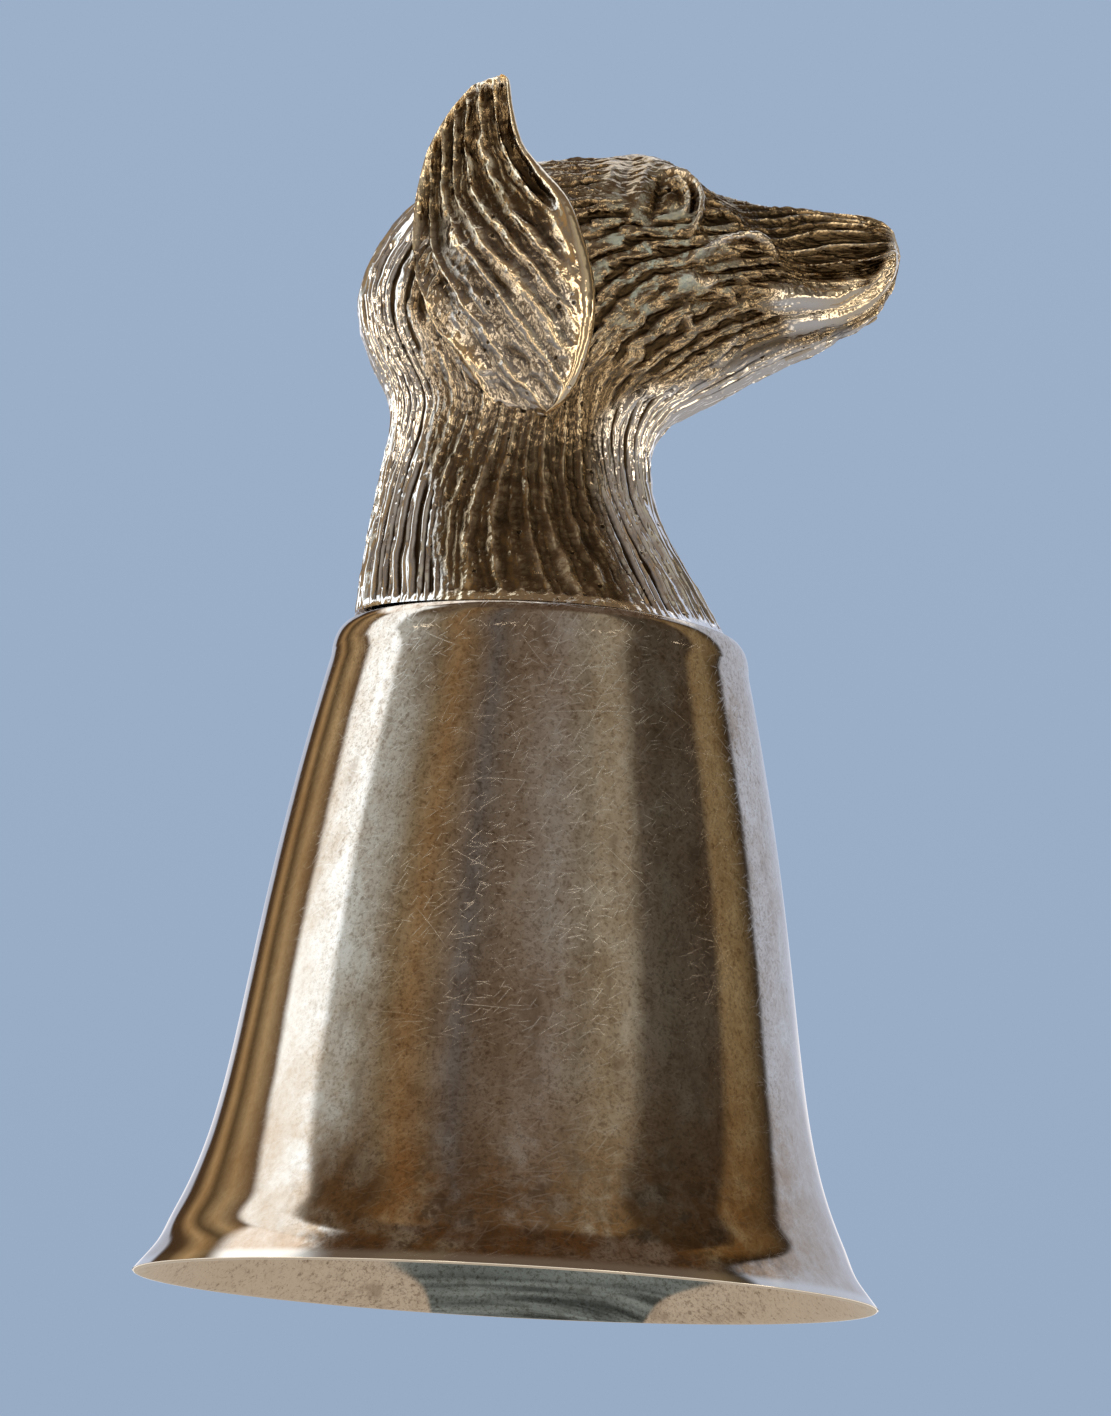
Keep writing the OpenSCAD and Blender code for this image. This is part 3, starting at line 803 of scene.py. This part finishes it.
# Each row: height in mm (minus sinks), half width in mm, share of the hair that it clears, points (x, z)
FEATURES = [
    # Eye socket, eyeball, and the lids in front of it
    (-1.10, 1.35, 1.0, [(10.9, 114.4), (11.2, 113.2), (11.5, 112.2)]),
    (1.15, 0.85, 1.0, EYEBALL),
    (0.95, 0.34, 1.0, [(10.6, 115.2), (11.8, 114.9), (12.7, 113.4), (12.4, 111.6), (11.6, 110.8)]),
    (-0.85, 0.30, 1.0, [(12.5, 114.9), (13.1, 113.2), (12.9, 111.4)]),
    (0.90, 0.40, 1.0, [(9.6, 116.2), (11.8, 115.9), (13.4, 114.4), (13.9, 112.4), (13.6, 110.4),
                       (13.0, 109.0)]),
    # Folds behind the eye and the brow over it
    (-0.60, 0.42, 1.0, [(9.9, 116.0), (9.5, 113.4), (9.2, 111.3), (8.4, 109.6)]),
    (0.30, 0.75, 1.0, [(8.6, 117.6), (7.9, 115.2), (7.6, 112.9), (7.4, 110.8)]),
    (-0.30, 0.70, 1.0, [(6.4, 118.2), (6.0, 115.4), (6.0, 112.6)]),
    (0.20, 0.80, 1.0, [(4.9, 117.0), (4.5, 114.8), (4.6, 113.0)]),
    (0.30, 0.75, 0.8, [(4.4, 117.6), (7.0, 118.6), (9.5, 117.4), (11.6, 116.2)]),
    # Cheek: the long fold towards the muzzle, its pit, and the two knobs under it
    (0.80, 0.50, 0.7, [(12.4, 105.6), (14.6, 107.4), (17.0, 108.7), (19.2, 109.5), (20.9, 108.9),
                       (22.0, 107.8)]),
    (-0.45, 0.62, 0.7, [(14.4, 105.8), (16.2, 106.5), (17.6, 106.8)]),
    (0.60, 0.80, 0.8, [(11.9, 103.5), (13.9, 104.2)]),
    (0.55, 0.65, 0.8, [(14.3, 103.2), (16.0, 104.3)]),
    (-0.55, 0.42, 0.3, [(13.0, 101.8), (14.8, 102.1), (16.3, 103.0)]),
    (0.40, 0.50, 0.6, [(13.2, 100.6), (13.6, 98.9)]),
    # Mouth: its corner, its line, the smooth upper lip and the lower lip
    (-0.60, 0.80, 0.8, [(18.0, 102.7), (19.2, 103.5)]),
    (-0.30, 0.40, 1.0, [(18.4, 102.4), (20.2, 102.0), (22.8, 101.9), (25.6, 102.5), (28.3, 103.3),
                        (30.5, 104.6), (32.3, 105.9), (33.5, 107.4), (34.2, 109.0)]),
    (0.65, 1.05, 1.0, [(21.7, 103.4), (24.1, 103.8), (26.3, 104.1), (28.6, 104.5), (30.4, 105.4)]),
    (0.20, 0.80, 1.0, [(34.7, 110.2), (34.6, 108.2), (33.6, 106.2), (32.0, 104.4), (29.6, 102.9),
                       (27.0, 101.8), (24.6, 101.0)]),
    # Jaw: the line under the lip, the hollow behind it and the edge of the cheek that runs down to the throat
    (-0.40, 0.32, 0.8, [(34.6, 106.6), (33.6, 104.6), (31.7, 102.9), (29.3, 101.6), (26.3, 100.4),
                        (24.0, 99.4)]),
    (-0.50, 1.30, 0.8, [(18.8, 96.8), (20.6, 97.8), (22.8, 98.9), (24.6, 99.8)]),
    (0.60, 0.55, 0.1, [(18.7, 101.0), (18.1, 99.0), (16.6, 96.7), (13.6, 94.4), (10.8, 92.9), (8.2, 91.6),
                       (7.0, 89.5)]),
    (0.45, 0.48, 0.1, [(19.4, 100.4), (18.9, 98.5), (17.3, 96.6), (14.7, 94.2), (11.8, 92.5), (10.4, 90.4)]),
    (-0.50, 0.80, 0.1, [(11.4, 93.6), (9.6, 92.6), (8.6, 90.6)]),
    # Nostril
    (-0.55, 0.32, 0.6, [(30.9, 113.5), (32.0, 112.7), (33.1, 112.3)]),
]

# The smooth lips, which polishing keeps bright
LIPS = [[(23.0, 102.9), (26.0, 103.4), (28.6, 104.0), (30.4, 105.0)],
        [(34.7, 110.6), (34.6, 108.2), (33.6, 106.2), (32.0, 104.4), (29.6, 102.9), (27.0, 101.8),
         (24.6, 101.0)]]
LIP_HALF_WIDTH, EYE_HALF_WIDTH = 1.2, 0.9


# %% Model the face
def lay(points):
    """Points of the side view laid on the surface, with more of them between."""
    rows = np.array(points, float)
    fine = through(rows, np.linspace(0, len(rows) - 1 - 1e-6, 12 * len(rows)))
    gap = ((form[..., ::2][None] - fine[:, None, None]) ** 2).sum(-1).reshape(len(fine), -1)
    return form.reshape(-1, 3)[gap.argmin(1)]


def distance_to(points):
    """Distance of every point of the form from a line, and how far along the line its nearest point lies."""
    line = lay(points)
    far = np.full(form.shape[:2], 1e9)
    where = np.zeros(form.shape[:2])
    for k, point in enumerate(line):
        step = ((form - point) ** 2).sum(-1)
        nearer = step < far
        far[nearer] = step[nearer]
        where[nearer] = k / (len(line) - 1)
    return np.sqrt(far), where


def sculpt():
    """The rise of every point of the form, and the share of hair that is left there."""
    rise = np.zeros(form.shape[:2])
    hair = np.ones(form.shape[:2])
    for height, width, clears, points in FEATURES:
        away, where = distance_to(points)
        taper = 0.35 + 0.65 * smooth(4 * np.minimum(where, 1 - where))
        rise += height * bell(away, width) * taper
        hair *= 1 - clears * bell(away, 1.25 * width)
    return rise, hair


rise, hair = sculpt()
eye = bell(distance_to(EYEBALL)[0], EYE_HALF_WIDTH)
lips = np.maximum(*(bell(distance_to(line)[0], LIP_HALF_WIDTH) for line in LIPS))
print("face:", len(FEATURES), "features, from", round(rise.min(), 2), "to", round(rise.max(), 2), "mm")

# %% [markdown]
# ## The two halves of the head
# The head is cast in two halves, and each one is a hollow shell: the carved skin outside, a plain wall
# inside, and flat faces where the halves meet. The skin carries the numbers that tell the carving and the
# finish what to do. They change along the stations: 0 is the foot of the neck, 6 the throat, 9 the cheek,
# 14 the eye and 21 the nose.

# %% Numbers for the carving
STRANDS = 24
degrees = np.degrees(column_turn)[None]
ring = np.arange(RINGS)[:, None]


def fade(stations, values):
    """Values that change along the stations."""
    return np.interp(ring_s, stations, values)[:, None]


def strand_angle():
    """Strands keep their angle round the neck and cheek, and close up towards the top of the muzzle."""
    on_muzzle = np.interp(degrees, [0, 28, 74, 105, 180], [50, 67, 95, 108, 180])
    behind_ear = bell(form_x + 9, 8) * bell(form_z - 94, 9)
    off_side = degrees - 90
    fanned = degrees - fade([0, 2, 4, 6], [0.45, 0.35, 0.12, 0]) * off_side * bell(off_side, 40)
    return mix(fanned, on_muzzle, smooth((ring_s[:, None] - 13.5) / 4)) + 1.4 * behind_ear * (form_z - 97)


# The shaded side lies between two ragged edges, given as angles from the crown. Its brown coat is partly
# painted shade, and the silver outside it partly a painted reflection of the pale sky.
ragged = 3 * np.sin(0.165 * ring) + 2.5 * np.sin(0.39 * ring + 1)
low_edge = fade([0, 6, 10.5, 12.5], [56, 46, 40, 8]) + ragged
high_edge = fade([0, 5, 8, 12, 16, 21], [120, 128, 158, 166, 174, 185])
in_shade = smooth((degrees - low_edge) / 12 + 0.5) * smooth((high_edge - degrees) / 12 + 0.5)
near_ear = bell(form_x + 9, 7) * bell(form_z - 95, 8)
raised = np.clip((rise - 0.25) / 0.5, 0, 1)
head_numbers = {
    "strand": STRANDS / 180 * strand_angle(),
    "along": np.cumsum(np.linalg.norm(np.diff(form, axis=0, prepend=form[:1]), axis=-1), axis=0),
    "fine": mix(1.0, fade([0, 6, 9, 13, 16, 21], [0.9, 0.85, 0.3, 0.25, 0.6, 0.6]), in_shade),
    "hairy": fade([0, 6, 9], [0.9, 0.75, 0.25]) * in_shade,
    "crown": mix(0.44, fade([6.5, 8, 13.8, 15.8], [0.7, 0.36, 0.36, 0.7]), in_shade),
    "knobs": in_shade * fade([0, 6, 9, 13.5, 15.5], [0.5, 0.5, 1.0, 0.9, 0.05]),
    "gouge": np.maximum(fade([13.8, 15.8], [0, 1]), in_shade * fade([6.6, 7.4], [0.85, 0])),
    "carve": fade([0, 0.18, 0.32, 1, 6, 9, 13, 16, 19.6, 20.6, 21],
                  [0, 0.0, 0.9, 1.1, 1, 1, 1, 1.3, 1.3, 0.4, 0]) * hair,
    # Painted shade in the sunk places of the face and over the eyeball
    "hollow": np.maximum(np.clip(-rise / 0.9, 0, 1), 0.6 * eye),
    # Brown coat on the shaded side, partly painted shade; silver outside it, partly painted reflection of the
    # sky
    "coat_and_shade": in_shade * fade([0, 9, 14], [1, 0.95, 1]) * (1 - lips) * (1 - 0.6 * raised)
               * (1 - 0.3 * near_ear),
    "matt": lips,
    "polish": np.maximum(in_shade * fade([3, 6.5, 8.5, 13.8, 15.8], [0.95, 0.6, 0, 0, 0.8]), 0.5 * raised),
    "dull": bell(form_x - 9, 8) * bell(form_z - 105, 8),
}
print("numbers carried by the head:", ", ".join(head_numbers))

# %% Shell of one half
CAST_T = 2.4
CAVITY_SHARE = 0.93
INNER_COLUMNS = 8
FOOT_GAP, NAPE_GAP, NAPE_TURN = 0.25, 1.1, math.radians(75)
LIFTED_STATIONS = 0.7
head_out = outward(form)


def half_shell():
    """Points and faces of the right half: carved skin, inner wall, seams and foot."""
    outer = form + head_out * rise[..., None]
    # The neck doesn't quite sit down on the bowl: the gap is widest at the nape
    gap = mix(FOOT_GAP, NAPE_GAP, smooth((NAPE_TURN - column_turn) / NAPE_TURN))
    outer[..., 2] += np.clip(1 - ring_s / LIFTED_STATIONS, 0, 1)[:, None] * gap[None]
    inner_turn = np.linspace(0, math.pi, INNER_COLUMNS + 1)
    closing = 1 - (ring_s / LAST) ** 8
    inner = np.stack([skin(np.array([s * CAVITY_SHARE]), inner_turn, CAST_T, c)[0]
                      for s, c in zip(ring_s, closing)])
    nose = skin(np.array([LAST - 1e-6]), np.array([math.pi / 2]))[0, 0]
    cavity_end = inner[-1].mean(0) * [1, 0, 1]
    points = np.vstack([outer.reshape(-1, 3), inner.reshape(-1, 3), nose, cavity_end])
    tip, end = len(points) - 2, len(points) - 1
    out_rows, in_rows = numbered(outer), numbered(inner, outer.size // 3)
    front, hole = out_rows[-1], in_rows[-1]
    faces = shell_faces(out_rows, in_rows)
    faces += [(a, tip, b) for a, b in zip(front, front[1:])]
    faces += [(a, b, end) for a, b in zip(hole, hole[1:])]
    faces += [(front[0], hole[0], end, tip), (front[-1], tip, end, hole[-1])]
    faces.append((*out_rows[0], *in_rows[0][::-1]))
    return points, faces


head_points, head_faces = half_shell()
print("half shell:", len(head_points), "points,", len(head_faces), "faces")

# %% Carve both halves
for name, node, mirror in [("carved_head_right", "head_right", False),
                           ("carved_head_left", "head_left", True)]:
    cast(name, node, mirror, head_points, head_faces, head_out, head_numbers,
         Depth=0.0005, Waviness=0.45, Stroke=12.0, Lumps=0.0008, Seed=3.0)

# %% [markdown]
# ## The ears
# Each ear is a leaf-shaped casting, soldered to the side of the head. Its front edge is a smooth raised rim
# that stands clear of the cheek, and its back edge melts into the coat. The hair starts at the tip, runs
# down and fans forward until it meets the rim, so the strand number shifts with the height.

# %% Leaf of the ear
EAR_L, EAR_W = 36.0, 18.4
EAR_FOOT_X, EAR_FOOT_H = -0.7, 21.0
EAR_SPREAD = 18.4
EAR_RIM_T, EAR_BACK_T, EAR_LEAST_T = 2.4, 0.8, 1.1
EAR_EDGE_ROUNDING = 0.45
SOLDER_GAP = 0.15
# Columns: height as a part of the length, back edge and front edge as parts of the width
EAR_ROWS = np.array([
    [0, -0.15, 0.0], [0.04, -0.36, 0.09], [0.12, -0.54, 0.175], [0.25, -0.68, 0.23],
    [0.38, -0.775, 0.217], [0.5, -0.81, 0.15], [0.62, -0.81, 0.055], [0.72, -0.785, -0.1],
    [0.8, -0.745, -0.22], [0.9, -0.65, -0.285], [0.97, -0.55, -0.31], [0.99, -0.51, -0.325],
    [1, -0.47, -0.36],
])
EAR_UP, EAR_ACROSS = 170, 120
leaf = through(EAR_ROWS, np.linspace(0, len(EAR_ROWS) - 1 - 1e-6, EAR_UP + 1))
up_part, back_edge, front_edge = leaf[:, 0:1], leaf[:, 1:2], leaf[:, 2:3]
across_part = np.linspace(0, 1, EAR_ACROSS + 1)[None]
leaf_x = EAR_FOOT_X + EAR_W * mix(back_edge, front_edge, across_part)
leaf_h = np.broadcast_to(EAR_FOOT_H + EAR_L * up_part, leaf_x.shape)
print("ear leaf:", leaf_x.shape, "from x", round(leaf_x.min(), 1), "to", round(leaf_x.max(), 1), "mm")


# %% Body of the ear
def half_width(x, height):
    """Half width of the head at points of the median plane, found by halving the range of stations."""
    low, high = np.zeros(x.shape), np.full(x.shape, float(LAST))
    for _ in range(16):
        middle = (low + high) / 2
        q = through(STATIONS, middle)
        beyond = (q[:, 2] - q[:, 0]) * (height - q[:, 1]) - (q[:, 3] - q[:, 1]) * (x - q[:, 0]) > 0
        high = np.where(beyond, middle, high)
        low = np.where(beyond, low, middle)
    q = through(STATIONS, middle)
    span_x, span_h = q[:, 2] - q[:, 0], q[:, 3] - q[:, 1]
    part = 2 * ((x - (q[:, 0] + q[:, 2]) / 2) * span_x + (height - (q[:, 1] + q[:, 3]) / 2) * span_h)
    part /= span_x ** 2 + span_h ** 2
    return np.where(np.abs(part) >= 1, 0, q[:, 4] * np.maximum(0, 1 - part ** 2) ** (side_power(middle) / 2))


def soft_max(a, b, width):
    return (a + b + np.sqrt((a - b) ** 2 + width ** 2)) / 2


def ear_body():
    """Inner face and outer face of the right ear, as distances from the median plane."""
    v = across_part
    seated = half_width(leaf_x.ravel(), leaf_h.ravel()).reshape(leaf_x.shape)
    inner = soft_max(seated + SOLDER_GAP, EAR_SPREAD / 2, 2.0)
    thick = mix(EAR_BACK_T, EAR_RIM_T, smooth(v)) * mix(0.4, 1, smooth(up_part / 0.12))
    hollow = 0.55 * np.sin(math.pi * v) ** 2 * np.where(v < 0.7, 1, (1 - v) / 0.3)
    rim = 0.22 * bell(v - 0.94, 0.05) - 0.35 * bell(v - 0.83, 0.05) * smooth((up_part - 0.3) / 0.3)
    bulge = 0.8 * np.sin(math.pi * np.clip(up_part / 0.9, 0, 1)) ** 1.5 * np.sin(math.pi * v) ** 0.7
    melt = smooth(v / 0.35)
    outer = inner - SOLDER_GAP + mix(-0.4, thick - hollow + rim + bulge + SOLDER_GAP, melt)
    from_front = (1 - v) * EAR_W * (front_edge - back_edge)
    edge = np.minimum(from_front, EAR_L * np.minimum(up_part, 1 - up_part))
    short = np.clip(EAR_EDGE_ROUNDING - edge, 0, EAR_EDGE_ROUNDING)
    outer -= EAR_EDGE_ROUNDING - np.sqrt(EAR_EDGE_ROUNDING ** 2 - short ** 2)
    return np.minimum(inner, outer - EAR_LEAST_T), outer


ear_inner, ear_outer = ear_body()
ear_skin = np.stack([leaf_x, -ear_outer, seat_z + leaf_h], -1)
ear_back = np.stack([leaf_x, -ear_inner, seat_z + leaf_h], -1)
ear_thick = ear_outer - ear_inner
print("ear thickness from", round(ear_thick.min(), 2), "to", round(ear_thick.max(), 2), "mm")


# %% Numbers for the ear
def ear_strand(x, z):
    """Number of the strand through a point: they hang from the tip, then bend forward one below the other."""
    low, high = np.full(x.shape, -9.0), np.full(x.shape, 15.0)
    for _ in range(24):
        number = (low + high) / 2
        bend_z = 118 - 2.4 * number - 0.17 * number * np.abs(number)
        line_x = -8.4 - 1.35 * number + 0.8 * 2.5 * np.log1p(np.exp((bend_z - z) / 2.5))
        low = np.where(line_x > x, number, low)
        high = np.where(line_x > x, high, number)
    return number


rim_band = 0.10 + 0.08 * bell(up_part - 0.38, 0.2)
off_rim = smooth((0.95 - across_part) / rim_band) * smooth((1 - up_part) / 0.04)
off_back = mix(1, smooth(across_part / 0.08), smooth((up_part - 0.4) / 0.2))
ear_numbers = {
    "strand": 1.15 * ear_strand(leaf_x, seat_z + leaf_h) + 40,
    "along": EAR_L * (1 - up_part),
    "fine": 0.45,
    "hairy": 0,
    "crown": 0.65,
    "knobs": 0.6,
    "gouge": 1,
    "carve": 0.9 * off_rim * off_back,
    "hollow": 0,
    # The coat grows darker up the ear; the rim is kept silver, partly as a painted reflection of the bright
    # window
    "coat_and_shade": mix(0.5, 1.0, smooth((up_part - 0.25) / 0.4)) * off_rim,
    "matt": 0,
    "polish": 1,
    "dull": 0.35 * bell(leaf_x + 9, 6) * bell(leaf_h - 45, 6),
}
print("numbers carried by the ear:", ", ".join(ear_numbers))

# %% Carve both ears
ear_out = outward(ear_skin)
ear_points = np.vstack([ear_skin.reshape(-1, 3), ear_back.reshape(-1, 3)])
skin_rows, back_rows = numbered(leaf_x), numbered(leaf_x, leaf_x.size)
ear_faces = shell_faces(skin_rows, back_rows)
ear_faces += strip(skin_rows[0], back_rows[0], True)
ear_faces += strip(skin_rows[-1], back_rows[-1])
for name, node, mirror in [("carved_ear_right", "right_ear", False),
                           ("carved_ear_left", "left_ear", True)]:
    cast(name, node, mirror, ear_points, ear_faces, ear_out, ear_numbers,
         Depth=0.0008, Waviness=0.6, Stroke=8.0, Lumps=0.0009, Seed=8.0)

# %% [markdown]
# ## The fixing inside
# A bridge and a stud hold the head on the bowl, with a fibre washer and a closed nut inside the bowl. Their
# CAD shapes are already the real ones, so they only need finishes: turned brass shows the fine rings of the
# tool, the fibre is a dull red-brown with darker flecks, and the nut is plated like the bowl.

# %% Finishes of the fixing
BRASS_BRIGHT, BRASS_DARK = (0.78, 0.60, 0.30), (0.42, 0.28, 0.11)
FIBRE_RED, FIBRE_DARK = (0.30, 0.15, 0.09), (0.11, 0.06, 0.04)
RING_DEPTH, FLECK_DEPTH = 0.00002, 0.00008


def turned_metal(name, bright, dark, rings_per_mm):
    finish, tree, shader, place = new_finish(name, Metallic=1.0)
    radius = distance_from_origin(move("MULTIPLY", place, (1, 1, 0)))
    turns = calc("SINE", radius * (2 * math.pi * rings_per_mm))
    stain = noise(place, 0.35, 4, 0.6)
    feed(tint(spread(stain, 0.4, 0.75), bright, dark), shader, "Base Color")
    feed(stain * 0.3 + 0.15, shader, "Roughness")
    bump(shader, turns * 0.5 + 0.5, RING_DEPTH)
    return finish


def seal_fibre():
    finish, tree, shader, place = new_finish("seal_fibre", Roughness=0.8)
    fleck = noise(move("MULTIPLY", place, (1.0, 4.0, 9.0)), 1.2, 4, 0.7)
    feed(tint(spread(fleck, 0.35, 0.7), FIBRE_RED, FIBRE_DARK), shader, "Base Color")
    bump(shader, fleck, FLECK_DEPTH)
    return finish


brass = turned_metal("turned_brass", BRASS_BRIGHT, BRASS_DARK, 5)
fixing_finish = {"neck_bridge": brass, "fixing_stud": brass, "seal_washer": seal_fibre(),
                 "dome_nut": turned_metal("plated_fixing", PLATE_SILVER, PLATE_BROWN, 4)}
for node, finish in fixing_finish.items():
    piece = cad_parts[node]
    piece.data.materials.clear()
    piece.data.materials.append(finish)
    print(node, "has the finish", finish.name)

# %% [markdown]
# ## Floor, background and light
# A polished metal shows what stands round it, so the surroundings are the light. The world is plain and
# pale for the camera. For reflections it is a room: a tall bright window at the left, a pale sky behind,
# dark warm bands in front that give the metal its depth, and a row of small bright panes low among them.
# Light comes from above only behind and at the left, and it is dark over the window. The cup stands on a
# pale floor, which metal sees as a dim one with bright panels. The camera is lower than the floor, so the
# floor shows its upper side only.

# %% Floor
FLOOR_HALF = 1.5
FLOOR_PALE = (0.62, 0.66, 0.72)
FLOOR_NEAR = (0.52, 0.45, 0.365)
FLOOR_AT_RIM = (1.3, 1.2, 1.05)
FLOOR_FRONT = (0.30, 0.25, 0.19)
FLOOR_PANEL = (2.3, 1.95, 1.45)
FLOOR_BEHIND = (0.36, 0.35, 0.35)
UNDER_MOUTH = (0.05, 0.06, 0.06)
UNDER_PALE = (0.24, 0.285, 0.285)


def floor_finish():
    finish, tree, shader, place = new_finish("pale_floor", Base_Color=(*FLOOR_PALE, 1), Roughness=0.9)
    x, y, _ = split(place)
    distance = distance_from_origin(place)
    bearing = calc("ARCTAN2", x, y * -1)
    panels = spread(calc("SINE", bearing * 9.0 + 4.4), 0.5, 0.7)
    in_metal = tint(panels, FLOOR_FRONT, FLOOR_PANEL)
    in_metal = tint(spread(y, -140, -40), in_metal, FLOOR_BEHIND)
    # Under the bowl the floor glows for reflections only, so the inside of the mouth shows pale; a brighter
    # ring right round the rim paints the bright line along the lip
    near = tint(spread(distance, 37.6, 38.4), FLOOR_NEAR, FLOOR_AT_RIM)
    in_metal = tint(spread(distance, 50, 70), near, in_metal)
    # Inside the mouth, a dark streaked strip that only reflections see: a painted reflection of a dark thing
    # in front, on the inner wall
    streaks = noise(move("MULTIPLY", place, (0.06, 0.8, 0)), 1.0, 3, 0.6)
    streaks = tint(spread(streaks, 0.35, 0.65), UNDER_MOUTH, UNDER_PALE)
    shaded = fall(calc("ABSOLUTE", x - 3.6), 11.2, 11.8) * calc("LESS_THAN", distance, 37)
    shine = get(tree, "ShaderNodeEmission", {"Color": tint(shaded, in_metal, streaks)})
    seen = largest(ray(tree, "Is Glossy Ray"), ray(tree, "Is Transmission Ray"))
    upper = get(tree, "ShaderNodeMixShader", {0: seen, 1: Number(shader.outputs[0]), 2: shine})
    under = get(tree, "ShaderNodeNewGeometry", out="Backfacing")
    clear = get(tree, "ShaderNodeBsdfTransparent")
    both = get(tree, "ShaderNodeMixShader", {0: under, 1: upper, 2: clear})
    feed(both, tree.nodes["Material Output"], "Surface")
    return finish


floor_mesh = bpy.data.meshes.new("floor")
floor_mesh.from_pydata([(x, y, 0) for x, y in ((-1, -1), (1, -1), (1, 1), (-1, 1))], [], [(0, 1, 2, 3)])
floor_mesh.transform(Matrix.Scale(FLOOR_HALF, 4))
floor_mesh.materials.append(floor_finish())
floor = bpy.data.objects.new("floor", floor_mesh)
bpy.context.scene.collection.objects.link(floor)
print("floor", 2 * FLOOR_HALF, "m square")

# %% World
SKY = (0.315, 0.41, 0.56)
SKY_HIGH = (0.335, 0.435, 0.59)
# What the metal sees round it, by bearing: 0 is towards the camera, positive to the right. Degrees and RGB.
SURROUNDINGS = [
    (-180, 0.57, 0.63, 0.77), (-159, 0.57, 0.63, 0.77), (-157, 0.07, 0.04, 0.02), (-150, 0.10, 0.06, 0.03),
    (-143, 0.50, 0.33, 0.16), (-136, 0.12, 0.08, 0.04), (-126, 0.55, 0.40, 0.22), (-115, 0.18, 0.12, 0.07),
    (-111, 1.55, 1.65, 1.72), (-90, 1.65, 1.83, 2.0), (-86, 0.64, 0.68, 0.68), (-72, 0.48, 0.49, 0.46),
    (-58, 0.28, 0.22, 0.14), (-48, 0.31, 0.20, 0.10), (-40, 0.25, 0.18, 0.11), (-26, 0.16, 0.145, 0.14),
    (-18, 0.18, 0.145, 0.115), (-8, 0.22, 0.175, 0.135), (12, 0.29, 0.26, 0.235), (27, 0.31, 0.28, 0.23),
    (34, 0.38, 0.34, 0.265), (46, 0.38, 0.34, 0.265), (54, 0.13, 0.11, 0.085), (64, 0.10, 0.085, 0.065),
    (90, 0.09, 0.07, 0.05), (95, 0.30, 0.22, 0.12), (106, 0.26, 0.19, 0.10), (112, 0.16, 0.115, 0.06),
    (119, 0.05, 0.04, 0.03), (122, 0.57, 0.63, 0.77), (180, 0.57, 0.63, 0.77),
]
LIGHT_ABOVE = (1.6, 1.6, 1.6)
BRIGHT_FRONT = (5.0, 4.3, 3.3)
BRIGHT_BEHIND = (1.15, 1.12, 1.15)
UPPER = (0.15, 0.11, 0.08)
OVER_WINDOW = (0.18, 0.135, 0.09)
AMBIENT = (0.75, 0.78, 0.82)


def surroundings():
    world = bpy.data.worlds.new("studio")
    world.use_nodes = True
    bpy.context.scene.world = world
    tree = world.node_tree
    x, y, height = split(get(tree, "ShaderNodeTexCoord", out="Generated"))
    # Bearings from here on are in radians
    bearing = calc("ARCTAN2", x, y * -1)
    aside = calc("ABSOLUTE", bearing)
    ramp = add(tree, "ShaderNodeValToRGB", {0: bearing * (0.5 / math.pi) + 0.5})
    stops = ramp.color_ramp.elements
    while len(stops) < len(SURROUNDINGS):
        stops.new(0.5)
    for stop, (degrees_round, *colour) in zip(stops, SURROUNDINGS):
        stop.position = degrees_round / 360 + 0.5
        stop.color = (*colour, 1)
    panes = spread(calc("SINE", bearing * 7.0 + 4.0), 0.6, 0.78) * fall(aside, 1.5, 1.7)
    panes = panes * spread(calc("SINE", height * 40.0), 0.0, 0.2) * spread(height, 0.28, 0.25)
    in_metal = tint(panes, Number(ramp.outputs[0]), BRIGHT_FRONT)
    low_behind = spread(aside, 2.1, 2.2) * fall(height, 0.10, 0.18)
    in_metal = tint(low_behind, in_metal, BRIGHT_BEHIND)
    overhead = fall(aside, 2.1, 2.2) * spread(height, 0.76, 0.88)
    in_metal = tint(overhead, in_metal, UPPER)
    over_window = spread(bearing, -1.62, -1.42) * fall(bearing, -1.1, -0.9)
    over_window = over_window * spread(height, 0.42, 0.7)
    in_metal = tint(over_window, in_metal, OVER_WINDOW)
    behind = spread(height, 0.64, 0.76) * spread(y, 0.4, 0.55)
    at_left = spread(bearing, -2.75, -2.65) * fall(bearing, -2.0, -1.9) * spread(height, 0.58, 0.66)
    in_metal = tint(largest(behind, at_left), in_metal, LIGHT_ABOVE)
    light = tint(ray(tree, "Is Glossy Ray"), AMBIENT, in_metal)
    seen = largest(ray(tree, "Is Camera Ray"), ray(tree, "Is Transmission Ray"))
    sky = tint(spread(height, 0.0, 0.35), SKY, SKY_HIGH)
    feed(tint(seen, light, sky), tree.nodes["Background"], "Color")


surroundings()
print("surroundings:", len(SURROUNDINGS), "bearings")

# %% Lamps
LAMP_AIM = Vector((0, 0, 0.06))


def soft_lamp(name, place, size, power):
    lamp = bpy.data.objects.new(name, bpy.data.lights.new(name, "AREA"))
    lamp.data.size = size
    lamp.data.energy = power
    lamp.location = place
    lamp.rotation_euler = (LAMP_AIM - Vector(place)).to_track_quat("-Z", "Y").to_euler()
    lamp.visible_glossy = False
    bpy.context.scene.collection.objects.link(lamp)


soft_lamp("window", (-0.5, -0.45, 0.7), 0.5, 5)
soft_lamp("fill", (0.6, -0.2, 0.6), 0.6, 2)
